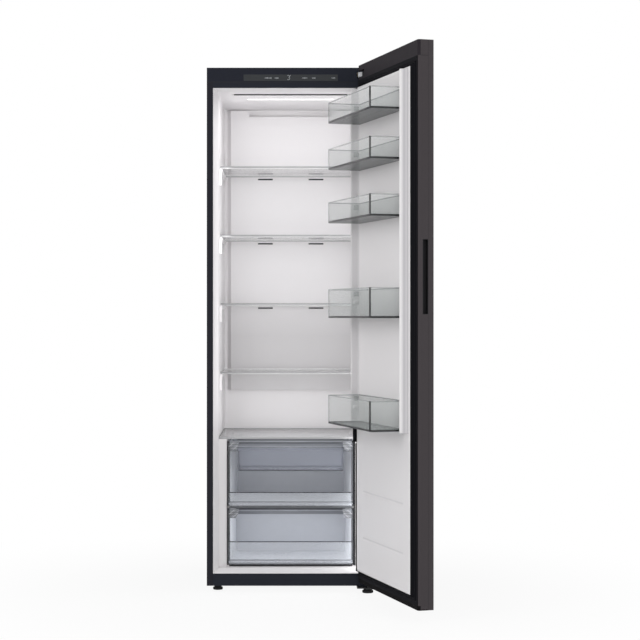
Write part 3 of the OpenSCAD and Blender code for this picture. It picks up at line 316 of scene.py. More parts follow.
rear_screw = finish("rear_screw", (0.3, 0.3, 0.31), 0.35, metal=0.9)
build("rear_screws", screws, rear_screw, "cabinet")
plug_cap = [(15, 0), (15, 0.6), (14.4, 1.3), (11.5, 1.6), (11, 1.1), (0.1, 1.1)]
plugs = [loft(lathe(plug_cap, (x, rear_y, z), "y", 48)) for z in (1500, 620) for x in (-85, 85)]
plug_grey = finish("plug_grey", (0.55, 0.55, 0.55), 0.5)
build("foam_plugs", plugs, plug_grey, "cabinet")


# ---- Liner ----
# One vacuum-formed sheet of white polystyrene makes the whole inner space, with a moulded duct cover on its
# rear wall. Its skin is a soft satin white with a very faint waviness from the mould.
liner_colour = (0.82, 0.803, 0.812)
liner_white = finish("liner_white", liner_colour, 0.38, fleck=0.008, fleck_size=0.15, peel=0.03, peel_size=0.004)
dress(["inner_liner", "inner_runners", "ceiling_cover", "evaporator_fan_housing"], liner_white)
duct_white = finish("duct_white", (0.81, 0.795, 0.805), 0.45, fleck=0.008, fleck_size=0.1, peel=0.08)
dress(["duct_cover"], duct_white)


def ramp(tree, axis, start, stop, low=0.0, high=1.0):
    """Socket that goes evenly from low to high while one object coordinate goes from start to stop, in metres.

    Before the start and past the stop it stays level."""
    place = tree.nodes.new("ShaderNodeTexCoord")
    axes = tree.nodes.new("ShaderNodeSeparateXYZ")
    tree.links.new(place.outputs["Object"], axes.inputs[0])
    level = tree.nodes.new("ShaderNodeMapRange")
    level.inputs["From Min"].default_value = start
    level.inputs["From Max"].default_value = stop
    level.inputs["To Min"].default_value = low
    level.inputs["To Max"].default_value = high
    tree.links.new(axes.outputs[axis], level.inputs["Value"])
    return level.outputs[0]


# The lamp's light falls off under the third shelf, so the duct's tone falls by a quarter there.
duct_tree = duct_white.node_tree
duct_skin = duct_tree.nodes["Principled BSDF"]
duct_tone = duct_tree.nodes.new("ShaderNodeVectorMath")
duct_tone.operation = "SCALE"
duct_tree.links.new(duct_skin.inputs["Base Color"].links[0].from_socket, duct_tone.inputs[0])
duct_tree.links.new(ramp(duct_tree, "Z", 0.9, 1.03, low=0.76), duct_tone.inputs["Scale"])
duct_tree.links.new(duct_tone.outputs[0], duct_skin.inputs["Base Color"])

# Dark plates stand behind the air slots under each shelf and behind the two slits of the ceiling cover: painted shade
# where the slots and slits fall dark.
shelf_tops = (1521, 1272, 1023, 774)
slot_half, slot_foot, slot_head, slit_half = 28.6, 18.6, 13.0, 204
# This black is the own colour of the dark joints and pins, and painted shade behind the slots and in the gaps round the
# drawers.
black_and_painted_shade = finish("black_and_painted_shade", (0.02, 0.02, 0.022), 0.6, gloss=0.2)
slot_shades = [loft(bar((x - slot_half, 539.6, top - slot_foot), (x + slot_half, 541.4, top - slot_head), 0.3))
           for top in shelf_tops for x in (-98, 98)]
slot_shades.append(loft(bar((-slit_half, 95.2, 1771.4), (slit_half, 102.8, 1773.6), 0.3)))
slot_shades.append(loft(bar((-slit_half, 87.4, 1771.2), (slit_half, 88.4, 1774.9), 0.2)))
build("air_slot_shade", slot_shades, black_and_painted_shade, "cabinet")


# ---- Header and display ----
# The header is a moulded shell in the cabinet's colour, with a smooth touch strip set in flush.
# The control board hides behind it. The strip shows a digit and rows of small level bars, and a dark joint parts
# the header from the steel rail below.
header_plastic = finish("header_plastic", (0.0118, 0.0135, 0.0215), 0.55, peel=0.12, peel_size=0.0008, gloss=0.16)
dress(["header_panel"], header_plastic)
strip_face = finish("strip_face", (0.033, 0.036, 0.039), 0.3, fleck=0.01, peel=0.0, gloss=0.2)
dress(["display_panel"], strip_face)
header_joint = [loft(bar((-296, -0.08, 1805.2), (262, 0.4, 1807.0), 0.1)),
                loft(bar((-167.4, 0.1, 1809.2), (167.4, 0.5, 1810.4), 0.1))]
build("header_joint", header_joint, black_and_painted_shade, "cabinet")


def ribbon(path, width, y0, y1):
    """Rings of a flat stroke: each point of a path in the front plane is widened across the path, from y0 to y1."""
    path = np.asarray(path, float)
    along = np.gradient(path, axis=0)
    across = np.stack([-along[:, 1], along[:, 0]], 1) / np.linalg.norm(along, axis=1, keepdims=True) * width / 2
    left, right = path + across, path - across
    return np.stack([np.column_stack([q[:, 0], np.full(len(q), y), q[:, 1]]) for q, y in
                     ((left, y0), (right, y0), (right, y1), (left, y1))], 1)


def arc(x, z, r, start, stop, n=18):
    """Points on a circle in the front plane, from one angle to another in degrees."""
    t = np.radians(np.linspace(start, stop, n))
    return np.stack([x + r * np.cos(t), z + r * np.sin(t)], 1)


mark_face, mark_back, mark_z, mark_pitch, mark_width = 0.22, 0.4, 1820.5, 3.1, 1.9
digit = np.concatenate([arc(-7.6, 1826.5, 3.7, 160, -90), arc(-7.6, 1818.6, 4.2, 88, -160)])
degree_ring = arc(-0.8, 1829.2, 1.3, 0, 340)
marks = [loft(ribbon(digit, 1.4, mark_face, mark_back)), loft(ribbon(degree_ring, 0.7, mark_face, mark_back))]
for x0, x1 in ((-92, -68), (-57, -40), (41, 59), (76, 89), (144, 161)):
    lefts = np.arange(x0, x1 - 1.5, mark_pitch)
    for x, tall in zip(lefts, 2.2 + 2.6 * (np.arange(len(lefts)) % 4) / 3):
        lo, hi = (x, mark_face, mark_z - tall / 2), (x + mark_width, mark_back, mark_z + tall / 2)
        marks.append(loft(bar(lo, hi, 0.05)))
mark_grey = finish("mark_grey", (0.36, 0.38, 0.4), 0.5)
build("display_marks", marks, mark_grey, "cabinet")
board_green = finish("board_green", (0.02, 0.12, 0.05), 0.5)
dress(["control_board"], board_green)


# ---- Ceiling lamp ----
# A row of diodes shines through a frosted bar in the ceiling cover, and lights the whole inside.
# The bar is lit in the photograph, so a narrow line along its front edge glows white by itself. The soft lamps
# stand for its light, thrown back by the white walls.
lamp_glow = finish("lamp_glow", liner_colour, 0.4)
lamp_tree = lamp_glow.node_tree
lamp_skin = lamp_tree.nodes["Principled BSDF"]
lamp_tree.links.new(ramp(lamp_tree, "Y", 0.208, 0.203, high=1.2), lamp_skin.inputs["Emission Strength"])
lamp_skin.inputs["Emission Color"].default_value = (1, 1, 0.98, 1)
dress(["lamp_lens"], lamp_glow)
soft_lamp("cabin_lamp", (0, 0.1, 1.765), (0, 0.35, 1.0), 0.42, 0.1, 0.8)
soft_lamp("cabin_fill", (-0.01, -0.015, 1.15), (-0.01, 0.5, 1.15), 0.44, 1.06, 1.52)
soft_lamp("cabin_left", (0.245, 0.1, 0.95), (-0.3, 0.14, 0.95), 0.08, 1.5, 0.68)
soft_lamp("corner_left", (-0.235, 0.14, 1.4), (-0.25, 0.56, 1.4), 0.03, 0.66, 0.09)
soft_lamp("cabin_left_low", (0.245, 0.03, 0.33), (-0.3, 0.03, 0.33), 0.05, 0.5, 0.42)
soft_lamp("cabin_deep", (0, 0.19, 1.15), (0, 0.5, 1.15), 0.46, 1.15, 1.0)
soft_lamp("cabin_low", (0, 0.1, 0.4), (0, 0.5, 0.4), 0.42, 0.6, 1.0)


# ---- Cold parts behind the duct ----
# Aluminium fins on aluminium tubes, a plastic fan and a grey tray with its drain tube. They stand in a recess of
# the foam, and the fan blows the cold air out through the duct cover's slots.
fin_metal = finish("fin_metal", (0.72, 0.73, 0.74), 0.35, metal=1.0)
dress(["evaporator"], fin_metal)
dark_plastic = finish("dark_plastic", (0.016, 0.016, 0.018), 0.55, peel=0.15, gloss=0.2)
dress(["evaporator_fan", "machine_cover", "roller_left", "roller_right"], dark_plastic)
grey_plastic = finish("grey_plastic", (0.5, 0.51, 0.52), 0.5, peel=0.08)
dress(["drain_channel", "drip_pan", "condenser_fan"], grey_plastic)


# ---- Shelves ----
# Each is a plate of tempered glass with a moulded trim of clear grey plastic along its front and its back. Thin
# sheets are seen straight through, so glass is a part-clear coat. A trim is one profile carried across the shelf,
# and painted shade darkens it, most along the front trim's top front edge and on the rear trim's back and underside.
def clear(name, colour, rough, cover, edge_colour=None, edge_cover=0.9):
    """See-through finish: light goes straight through by a share of 1 - cover.

    With an edge colour, the edge attribute moves the colour and the cover evenly to the edge's own, which mostly
    paints shade on the piece."""
    m = bpy.data.materials.new(name)
    m.use_nodes = True
    t = m.node_tree
    skin = t.nodes["Principled BSDF"]
    place = t.nodes.new("ShaderNodeTexCoord")
    cloud = t.nodes.new("ShaderNodeTexNoise")
    cloud.inputs["Scale"].default_value = 30
    t.links.new(place.outputs["Object"], cloud.inputs["Vector"])
    tint = t.nodes.new("ShaderNodeMix")
    tint.data_type = "RGBA"
    tint.inputs["A"].default_value = tuple(c * 0.97 for c in colour) + (1,)
    tint.inputs["B"].default_value = tuple(min(c * 1.03, 1) for c in colour) + (1,)
    t.links.new(cloud.outputs["Fac"], tint.inputs["Factor"])
    skin.inputs["Roughness"].default_value = rough
    if edge_colour is None:
        t.links.new(tint.outputs["Result"], skin.inputs["Base Color"])
        skin.inputs["Alpha"].default_value = cover
        return m
    mark = t.nodes.new("ShaderNodeAttribute")
    mark.attribute_name = "edge"
    hue = t.nodes.new("ShaderNodeMix")
    hue.data_type = "RGBA"
    hue.inputs["B"].default_value = edge_colour + (1,)
    t.links.new(mark.outputs["Fac"], hue.inputs["Factor"])
    t.links.new(tint.outputs["Result"], hue.inputs["A"])
    t.links.new(hue.outputs["Result"], skin.inputs["Base Color"])
    veil = t.nodes.new("ShaderNodeMapRange")
    veil.inputs["To Min"].default_value = cover
    veil.inputs["To Max"].default_value = edge_cover
    t.links.new(mark.outputs["Fac"], veil.inputs["Value"])
    t.links.new(veil.outputs[0], skin.inputs["Alpha"])
    return m


shelf_glass = clear("shelf_glass", (0.37, 0.375, 0.385), 0.05, 0.46)
shelf_trim = clear("shelf_trim", (0.93, 0.93, 0.935), 0.25, 0.95, (0.13, 0.13, 0.135), 1.0)


def rail(shape, half, z, edge, soft=0.6):
    """Skin of a trim carried along X: its outline in Y and height, drawn in a little at both ends."""
    shape = np.asarray(shape, float)
    middle = shape.mean(0)
    near = middle + (shape - middle) * 0.86
    rings = np.stack([np.column_stack([np.full(len(q), x), q[:, 0], q[:, 1] + z]) for x, q in
                      ((-half, near), (-half + soft, shape), (half - soft, shape), (half, near))])
    return loft(rings, np.asarray(edge, float)[None, :])


shelf_half = 255
front_trim = [(150.0, -6.6), (150.7, -8), (161.4, -8), (162, -7.4), (162, -5), (162, -1.0), (158, -0.6), (151.6, -0.3),
              (150.6, -0.4), (150.0, -1.6)]
front_trim_shade = [0.78, 0.1, 0.3, 0.4, 0.3, 0.3, 0.8, 1.0, 1.0, 0.86]
rear_trim = [(512.0, -4.4), (512.0, -0.6), (512.6, 0), (524, 0), (529.6, 0), (530, -0.6), (530, -7.4), (529.4, -8),
             (513.8, -8), (513.2, -7.4), (513.2, -4.8)]
rear_trim_shade = [0, 0, 0, 0, 0, 0.2, 0.8, 0.8, 0.6, 0.6, 0.5]
for i, top in enumerate(shelf_tops, 1):
    dress([f"shelf_{i}_glass"], shelf_glass)
    trims = [rail(front_trim, shelf_half, top, front_trim_shade), rail(rear_trim, shelf_half, top, rear_trim_shade)]
    build(f"shelf_{i}_edges", trims, shelf_trim, f"shelf_{i}", (f"shelf_{i}_trims",), smooth=50)

# The glass cover over the drawers lies in a frame of the same kind. Thin dark bars on its side and back edges are
# painted shade where those edges fall dark.
cover_trim = finish("cover_trim", (0.4, 0.4, 0.41), 0.3)
dress(["crisper_frame"], cover_trim)
cover_glass = clear("cover_glass", (0.56, 0.56, 0.57), 0.12, 0.6)
dress(["crisper_glass"], cover_glass)
edge_shade_grey = finish("edge_shade_grey", (0.11, 0.11, 0.115), 0.4)
cover_shade_lines = (((-257, 74, 541.9), (-254.8, 524, 543)), ((254.8, 74, 541.9), (257, 524, 543)),
               ((-257, 535, 542), (257, 538, 543.05)))
build("cover_edge_shade", [loft(bar(lo, hi, 0.3)) for lo, hi in cover_shade_lines], edge_shade_grey, "crisper_cover")


# ---- Drawers ----
# Two smoky clear tubs of moulded polystyrene with low fronts: a trough with thick rims, a back and a front
# wall, and stiffening corners under the rims. They slide on rails of the liner, and under the rims their walls
# lean in towards the back.
def upright(half, z0, z1, r, shoulder, draft=0.0):
    """Left and right outline of a wall seen from the front.

    It goes down the side, in by the draft under the shoulder, and round a corner of radius r."""
    t = np.linspace(np.pi, 1.5 * np.pi, 7)
    foot = np.stack([-half + draft + r + r * np.cos(t), z0 + r + r * np.sin(t)], 1)
    left = np.concatenate([[(-half, z1), (-half, shoulder + 3), (-half + draft, shoulder)], foot])
    return np.concatenate([left, left[::-1] * (-1, 1)])


def plate_xz(outline, y):
    """Rings of an upright plate: one front outline at each depth y."""
    return np.stack([np.insert(outline, 1, v, axis=1) for v in y])


def trough(half, z0, z1, r, wall, y, shoulder, draft):
    """Rings of a U-shaped channel: at each depth y the outer outline and then the inner one, wall apart.

    Under the shoulder the sides lean in evenly, by draft in all from the first depth to the last."""
    rings = []
    for v in y:
        lean = draft * (v - y[0]) / (y[-1] - y[0])
        outer = upright(half, z0, z1, r, shoulder, lean)
        inner = upright(half - wall, z0 + wall, z1, r - wall, shoulder + 1.2, lean)
        rings.append(np.insert(np.concatenate([outer, inner[::-1]]), 1, v, axis=1))
    return np.array(rings)


# The troughs' walls take a lighter, more opaque copy of the drawers' plastic: painted light, since little lamp light
# reaches inside the drawers. The dark edge colour is painted shade.
drawer_edge_shade = (0.02, 0.022, 0.026)
drawer_wall = clear("drawer_wall", (0.84, 0.86, 0.9), 0.3, 0.93, drawer_edge_shade, 0.97)
drawer_clear = clear("drawer_clear", (0.62, 0.64, 0.69), 0.25, 0.66, drawer_edge_shade, 0.97)
drawer_front = clear("drawer_front_clear", (0.62, 0.65, 0.7), 0.12, 0.25, (0.04, 0.04, 0.045), 0.95)
corner_pin = [(2.8, 0), (2.8, -0.8), (1.8, -1.5), (0.1, -1.7)]


def tub(name, z0, z1, front_h, y1, shoulder, ribs, bands, ledge=None):
    """Trough from the front to the back with a back plate, side rims, front flanges, webbed corner brackets and ribs.

    Each rib is a bar across the back wall, from one height of the cabinet to another, and each band one across the
    front, from one height over the tub's foot to another. Both end with how dark they are, and that darkness is
    painted shade."""
    # The dark values, the edge colour and the black bars are painted shade: on the plastic's front edges and flanges,
    # as lines under the drawer above, and in the gaps round the drawers.
    half, wall, corner, y0, ledge_y, draft = 226, 3, 12, 60, 82, 17
    back, wide, flange, pin_in = y1 - wall, half - wall, half - 9, half - 4.6
    rings = trough(half, z0, z1, corner, wall, [y0, y0 + 3, y0 + 3.01, 200, back], shoulder, draft)
    # The walls' front faces are darkened as painted shade.
    dark = np.zeros(rings.shape[:2])
    dark[:2] = 1
    walls = [loft(rings, dark)]
    frame_skins = [loft(plate_xz(upright(half, z0, z1, corner, shoulder, draft), [back, y1])),
                   loft(bar((-wide, back - 8, z1 - 5), (wide, back, z1 - 1)), 0.35),
                   loft(bar((-half + corner, y0 + 6, z0 + wall), (half - corner, y0 + 12, z0 + wall + 2)), 0.3)]
    for low, high, tone in ribs:
        skins = walls if tone == 0 else frame_skins
        skins.append(loft(bar((-wide + draft, back - 3, low), (wide - draft, back, high)), tone))
    black = []
    for s in (-1, 1):
        inner = s * wide
        low, high = sorted((inner, s * flange))
        frame_skins.append(loft(bar((low, y0 + 4, z1 - 5), (high, back, z1 - 1)), 0.2))
        frame_skins.append(loft(bar((low, y0 + 0.2, z0 + 12), (high, y0 + 2.8, z1 - 6)), 0.86))
        web = np.array([(inner, z1 - 0.6), (inner, z1 - 34), (s * (half - 29), z1 - 34), (s * (half - 38), z1 - 18),
                        (s * (half - 41), z1 - 0.6)])
        frame_skins.append(loft(plate_xz(web, (y0 + 0.6, y0 + 2.2)), 0.5))
        for k, reach in enumerate((40, 38, 34, 30)):
            low, high = sorted((inner, s * (half - reach)))
            frame_skins.append(loft(bar((low, y0, z1 - 4.6 - 9 * k), (high, y0 + 2.6, z1 - 3.2 - 9 * k), 0.3), 0.9))
        for skins, width, tone, start, stop in ((frame_skins, 2.0, 0.75, (5, 31), (37, 4)),
                                                (walls, 1.2, 0.3, (5, 20), (24, 4)),
                                                (walls, 1.2, 0.3, (18, 32), (36, 16))):
            stroke = [(s * (half - inset), z1 - drop) for inset, drop in (start, stop)]
            skins.append(loft(ribbon(stroke, width, y0, y0 + 2.6), tone))
        black.append(loft(lathe(corner_pin, (s * pin_in, y0 + 0.2, z1 - 3.6), "y", 16)))
        # A black bar beside the front is painted shade in the gap next to the drawer.
        low, high = sorted((s * 224.7, s * 226.1))
        black.append(loft(bar((low, y0 - 0.3, z0 + 8), (high, y0 + 0.6, z1 - 1), 0.2)))
        if ledge:
            low, high = sorted((s * (half - 18), inner))
            walls.append(loft(bar((low, ledge_y, ledge - 4), (high, back, ledge)), 0.15))
    build(name + "_tub", walls, drawer_wall, name, (name,))
    build(name + "_frame", frame_skins, drawer_clear, name)
    build(name + "_pins_and_gap_shade", black, black_and_painted_shade, name)
    top = z0 + front_h
    front = [loft(plate_xz(upright(wide, z0 + wall, top, 9, top - 20), [y0 + 0.2, y0 + 2.8])),
             loft(bar((-wide, y0, top - 3.4), (wide, y0 + 4, top), 0.8), 1.0)]
    front += [loft(bar((-wide + 3, y0 - 0.2, z0 + low), (wide - 3, y0 + 3.6, z0 + high), 0.8), tone)
              for low, high, tone in bands]
    build(name + "_front", front, drawer_front, name)


# Black bars stand round and between the drawers, in the gaps that they leave: painted shade where the gaps fall dark.
gap_shade_bars = [((-227.9, 57, 84), (-226.5, 60, 530)), ((226.5, 57, 84), (231.5, 60, 530)),
              ((-227.9, 62, 286.9), (227.9, 70, 289.2)), ((-220, 62, 80.1), (220, 68, 83.8))]
build("drawer_gap_shade", [loft(bar(lo, hi, 0.3)) for lo, hi in gap_shade_bars], black_and_painted_shade, "cabinet")
tub("drawer_upper", z0=294, z1=529, front_h=52, y1=530, shoulder=486,
    ribs=[(497, 502, 0.5), (489.4, 493.6, 0), (483, 488.6, 0.5), (470.4, 474.6, 0), (466.6, 470, 0.4)],
    bands=[(-4.4, 0.4, 0.8), (0.8, 9.2, 0.05), (9.6, 15.2, 0.3), (15.6, 18.0, 0.85)], ledge=490.2)
tub("drawer_lower", z0=84.5, z1=286.5, front_h=85, y1=385, shoulder=274.5,
    ribs=[(245, 252, 0.85), (240.2, 244.6, 0.2), (229, 240, 0.62)],
    bands=[(0.4, 3.4, 1.0), (3.6, 6.2, 0.6), (6.4, 9.6, 0.25), (9.8, 13.6, 0.05), (14, 20.5, 0.45)])


def round_loop(x0, y0, x1, y1, radii, n=6):
    """Points round a rectangle, anticlockwise from its lower left, with a quarter circle of its own at each corner."""
    hubs = ((x0, y0, 1, 1), (x1, y0, -1, 1), (x1, y1, -1, -1), (x0, y1, 1, -1))
    arcs = []
    for k, ((x, y, sx, sy), r) in enumerate(zip(hubs, radii)):
        t = np.linspace(np.pi + k * np.pi / 2, 1.5 * np.pi + k * np.pi / 2, n)
        arcs.append(np.stack([x + sx * r + r * np.cos(t), y + sy * r + r * np.sin(t)], 1))
    return np.concatenate(arcs)


def hollow(x0, y0, x1, y1, radii, profile):
    """Rings of an open tub: each row of the profile gives how far in the rounded rectangle shrinks, and its height."""
    rings = []
    for inset, z in profile:
        loop = round_loop(x0 + inset, y0 + inset, x1 - inset, y1 - inset, [max(r - inset, 0.3) for r in radii])
        rings.append(np.column_stack([loop, np.full(len(loop), z)]))
    return np.array(rings)


# Shallow tray inside the upper drawer, hung by its lips. Its tinted walls are darker along the foot and up the
# two corners at its front.
tray_z0, tray_z1, tray_y0, tray_y1, tray_half, lip_reach = 419, 493, 82, 252, 190, 222
profile = [(40, tray_z0), (3, tray_z0), (1.2, tray_z0 + 1.2), (0.6, tray_z0 + 5), (0.6, tray_z0 + 5.1),
           (0, tray_z1 - 3), (0, tray_z1 - 0.6), (0.6, tray_z1), (2, tray_z1), (2.5, tray_z1 - 0.6),
           (2.6, tray_z0 + 5), (5, tray_z0 + 2.6), (40, tray_z0 + 2.5)]
rings = hollow(-tray_half, tray_y0, tray_half, tray_y1, (8, 8, 8, 8), profile)
dark = np.zeros(rings.shape[:2])
dark[1:4] = 0.9
dark[6:9] = 0.15
dark[3:6, [1, 2, 3, 4, 7, 8, 9, 10]] = 0.6
skins = [loft(rings, dark)]
for s in (-1, 1):
    low, high = sorted((s * (tray_half - 0.4), s * lip_reach))
    skins.append(loft(bar((low, tray_y0, tray_z1 - 2.8), (high, tray_y1, tray_z1), 0.8), 0.2))
tray_clear = clear("tray_clear", (0.3, 0.32, 0.38), 0.15, 0.26, (0.035, 0.035, 0.045), 0.9)
build("drawer_tray_tub", skins, tray_clear, "drawer_tray", ("drawer_tray",))


# ---- Machine room ----
# Black enamelled compressor and condenser at the back of the base plate, joined by brazed copper pipes. The
# compressor's mounts and the gland of the cord hole are rubber.
black_coat = finish("black_coat", (0.012, 0.012, 0.013), 0.35)
dress(["compressor", "condenser"], black_coat)
rubber_black = finish("rubber_black", (0.011, 0.011, 0.012), 0.6, peel=0.1, gloss=0.3)
dress(["compressor_mounts", "cord_gland"], rubber_black)
copper = finish("copper", (0.72, 0.36, 0.2), 0.28, metal=1.0)
dress(["refrigerant_pipes"], copper)


# ---- Levelling feet ----
# Turned plastic feet with an upright knurl round the rim for the fingers, a hexagon above for the
# spanner and a steel stud that screws up into the plate.
foot_black = finish("foot_black", (0.009, 0.009, 0.01), 0.5, peel=0.1, gloss=0.25)
for side, x, y, r, top in (("left", -260, 48, 17.5, 39), ("right", 272, -24, 19.5, 30)):
    knob = [(0.1, 0), (r - 2, 0), (r - 0.9, 0.6, 0.2), (r - 0.6, 2, 0.6), (r - 0.6, 7.6, 0.6), (r - 1.4, 9, 0.4),
            (r - 5, 9.8), (r - 4.8, 10.6, 0.4), (r - 4.8, 13.6, 0.4), (r - 5.6, 14.2), (8.5, 14.4), (0.1, 14.4)]
    hexagon = [(8, 14), (8, 15.2), (7.4, 15.6), (5, 15.6)]
    stud = [(5, 15.6), (5, top - 1), (4.2, top)]
    skins = [loft(lathe(knob, (x, y, 0), n=144, teeth=28)), loft(lathe(hexagon, (x, y, 0), n=6)),
             loft(lathe(stud, (x, y, 0)))]
    build(f"foot_{side}_knob", skins, foot_black, f"foot_{side}", (f"foot_{side}",), smooth=50)


# ---- Hinges ----
# The upper arm is pressed steel dipped black, with its bar left bright where it shows in the door's slot.
# The lower plate is coated black all over. Zinc-plated screws hold both.
hinge_steel = finish("hinge_steel", (0.6, 0.6, 0.62), 0.25, metal=1.0)
dress(["hinge_screws"], hinge_steel)
arm_bright = (0.5, 0.5, 0.52)
dipped_arm = finish("dipped_arm", arm_bright, 0.3)
arm_tree = dipped_arm.node_tree
arm_skin = arm_tree.nodes["Principled BSDF"]
dipped = arm_tree.nodes.new("ShaderNodeMath")
dipped.operation = "MAXIMUM"
arm_tree.links.new(ramp(arm_tree, "X", 0.251, 0.2525), dipped.inputs[0])
arm_tree.links.new(ramp(arm_tree, "Y", -0.008, -0.006), dipped.inputs[1])
arm_tint = arm_tree.nodes.new("ShaderNodeMix")
arm_tint.data_type = "RGBA"
arm_tint.inputs["A"].default_value = arm_bright + (1,)
arm_tint.inputs["B"].default_value = (0.006, 0.006, 0.007, 1)
arm_tree.links.new(dipped.outputs[0], arm_tint.inputs["Factor"])
arm_tree.links.new(arm_tint.outputs["Result"], arm_skin.inputs["Base Color"])
arm_skin.inputs["Specular IOR Level"].default_value = 0.25
dress(["upper_hinge"], dipped_arm)
dress(["lower_hinge"], black_coat)


# ---- Door shell ----
# A steel pan in a warm charcoal coat, two steel side frames and plastic caps at top and bottom, all held together
# by the foam. The handle is a moulded pocket let into the free edge.
door_coat = finish("door_coat", (0.049, 0.042, 0.0455), 0.42, peel=0.05, gloss=0.2)
dress(["door_skin", "door_side_frames"], door_coat)
cap_plastic = finish("cap_plastic", (0.026, 0.0225, 0.0265), 0.6, peel=0.1, gloss=0.05)
dress(["door_top_cap"], cap_plastic)


hinge_x, hinge_y, open_angle = 276, -40, math.radians(106.4)


def on_door(skin):
    """Turns a skin drawn on the closed door to the open door's place: open_angle about the hinge's upright axis."""
    points, faces, edge = skin
    c, s = math.cos(open_angle), math.sin(open_angle)
    x, y = points[:, 0] - hinge_x, points[:, 1] - hinge_y
    return np.column_stack([hinge_x + c * x - s * y, hinge_y + s * x + c * y, points[:, 2]]), faces, edge


def edge_strips(places):
    """Thin bars on the door's free edge: each place gives a bar's front, back, foot and top."""
    return [on_door(loft(bar((-297.58, front, foot), (-297, back, top), 0.1))) for front, back, foot, top in places]


# Thin dark joints part the pan from the side frame and the frame from the top cap on the door's free edge, and the
# caps' ends are plates in the door's coat.
joint_places = [(-41.6, -40.8, 54, 980.5), (-41.6, -40.8, 1223.5, 1807.6), (-41.6, -40.8, 1807.7, 1858),
                (-40.8, -14.5, 1807.2, 1808.6)]
build("door_joints", edge_strips(joint_places), black_and_painted_shade, "door")
plate_places = [(-40.7, -14.8, 41, 53.9), (-40.7, -14.8, 1808.7, 1858)]
build("door_end_plates", edge_strips(plate_places), door_coat, "door")
bottom_black = finish("bottom_black", (0.0085, 0.008, 0.0085), 0.75, peel=0.1, gloss=0.03)
dress(["door_bottom_cap"], bottom_black)
dress(["handle_pocket"], dark_plastic)
dress(["door_foam", "door_ridge_cores"], foam_skin)


# ---- Door liner ----
# One vacuum-formed white sheet: a flat field inside a soft border bead, two shallow grooves low down, and a tall
# ridge on each side of the baskets, with a lug on the ridge for each basket's ear. The slopes of the ridges and
# the grooves' upper slopes are greyed by painted shade.
def bell(d, half_width):
    """Smooth bump: a squared cosine that is 1 where d is 0 and 0 from the half width on."""
    return np.cos(np.clip(np.abs(d) / half_width, 0, 1) * np.pi / 2) ** 2


# The border gives the sheet's height over the distance in from the field's edge. The ridge gives, for the
# distance from the middle, its height and how far painted shade greys it, and its two ends fall off on short round
# slopes.
field_half, field_foot, field_top, field_corner = 268.5, 82, 1779, 10
border = np.array([(0, -6), (0.05, 4), (0.6, 6.4), (1.5, 7.9), (3.2, 9.0), (6, 10.0), (9, 10.6), (12, 10.2), (16, 9)])
ridge = np.array([(236, 9, 0), (239.5, 9.3, 0.25), (242, 10.6, 0.45), (243.4, 13.2, 0.5), (244, 17, 0.45),
                  (244.2, 33, 0.4), (244.9, 37, 0.2), (246.3, 38.4, 0), (248, 37.2, 0), (250, 33.8, 0.1),
                  (251.5, 30.6, 0.45), (253.0, 27.6, 0.7), (254.5, 26.2, 1.0), (256.2, 23.6, 0.85), (258, 20.9, 0.7),
                  (259.6, 18.2, 0.65), (260.9, 15.2, 1.0), (261.8, 14.9, 0.9), (262.4, 14.7, 0.55),
                  (263.2, 13.3, 0.55), (263.7, 12.2, 0.3), (264.1, 11.3, 0), (264.6, 10.2, 0), (265.6, 8.6, 0)])
ridge_ends = [600, 600.25, 601, 602.5, 1767.5, 1769, 1769.75, 1770]
groove_levels, groove_reach, groove_half, groove_depth, groove_shade = (365, 204), 195.5, 7, 1.5, 0.36
half_x = np.concatenate([[0, 60, 120, 170, 190, 194, 197, 199, 200.5, 215, 228], ridge[:, 0],
                         [266.3, 267, 267.9, 268.45, field_half, 268.6, 271]])
half_x = np.unique(np.concatenate([half_x, field_half - border[1:, 0]]))
net_x = np.concatenate([-half_x[:0:-1], half_x])
steps = np.arange(-8, 9)
net_z = np.unique(np.concatenate([[53.3, 81.9], field_foot + border[:, 0], [120, 160, 250, 300, 420, 480, 540],
                                  *[level + steps for level in groove_levels], [594, 599.9], ridge_ends, [1770.1],
                                  np.arange(640, 1760, 60), field_top - border[:, 0], [1779.1, 1807.7]]))
x, z = np.meshgrid(net_x, net_z, indexing="ij")
middle_z, half_z = (field_top + field_foot) / 2, (field_top - field_foot) / 2
corner_x = np.abs(x) - (field_half - field_corner)
corner_z = np.abs(z - middle_z) - (half_z - field_corner)
beyond = np.hypot(np.maximum(corner_x, 0), np.maximum(corner_z, 0))
inside = field_corner - beyond - np.minimum(np.maximum(corner_x, corner_z), 0)
rise = np.interp(inside, border[:, 0], border[:, 1])
tall = np.interp(np.abs(x), ridge[:, 0], ridge[:, 1], left=-6, right=-6)
share = np.interp(z, ridge_ends, [0, 0.75, 0.94, 1, 1, 0.94, 0.75, 0])
rise = rise + np.maximum(tall - rise, 0) * share
# How grey each point is: painted shade on the ridges' slopes.
grey = np.interp(np.abs(x), ridge[:, 0], ridge[:, 2], left=0, right=0) * share
# Each groove is pressed in, and painted shade greys its upper slope.
for level in groove_levels:
    past_end = np.maximum(np.abs(x) - groove_reach, 0)
    rise -= groove_depth * bell(np.hypot(past_end, z - level), groove_half)
    grey += groove_shade * bell(np.hypot(past_end, z - level - 4), 4.5)
points = np.stack([x, rise, z], -1).reshape(-1, 3)
i, j = np.meshgrid(np.arange(len(net_x) - 1), np.arange(len(net_z) - 1), indexing="ij")
first = i * len(net_z) + j
quads = np.stack([first, first + 1, first + len(net_z) + 1, first + len(net_z)], -1).reshape(-1, 4).tolist()
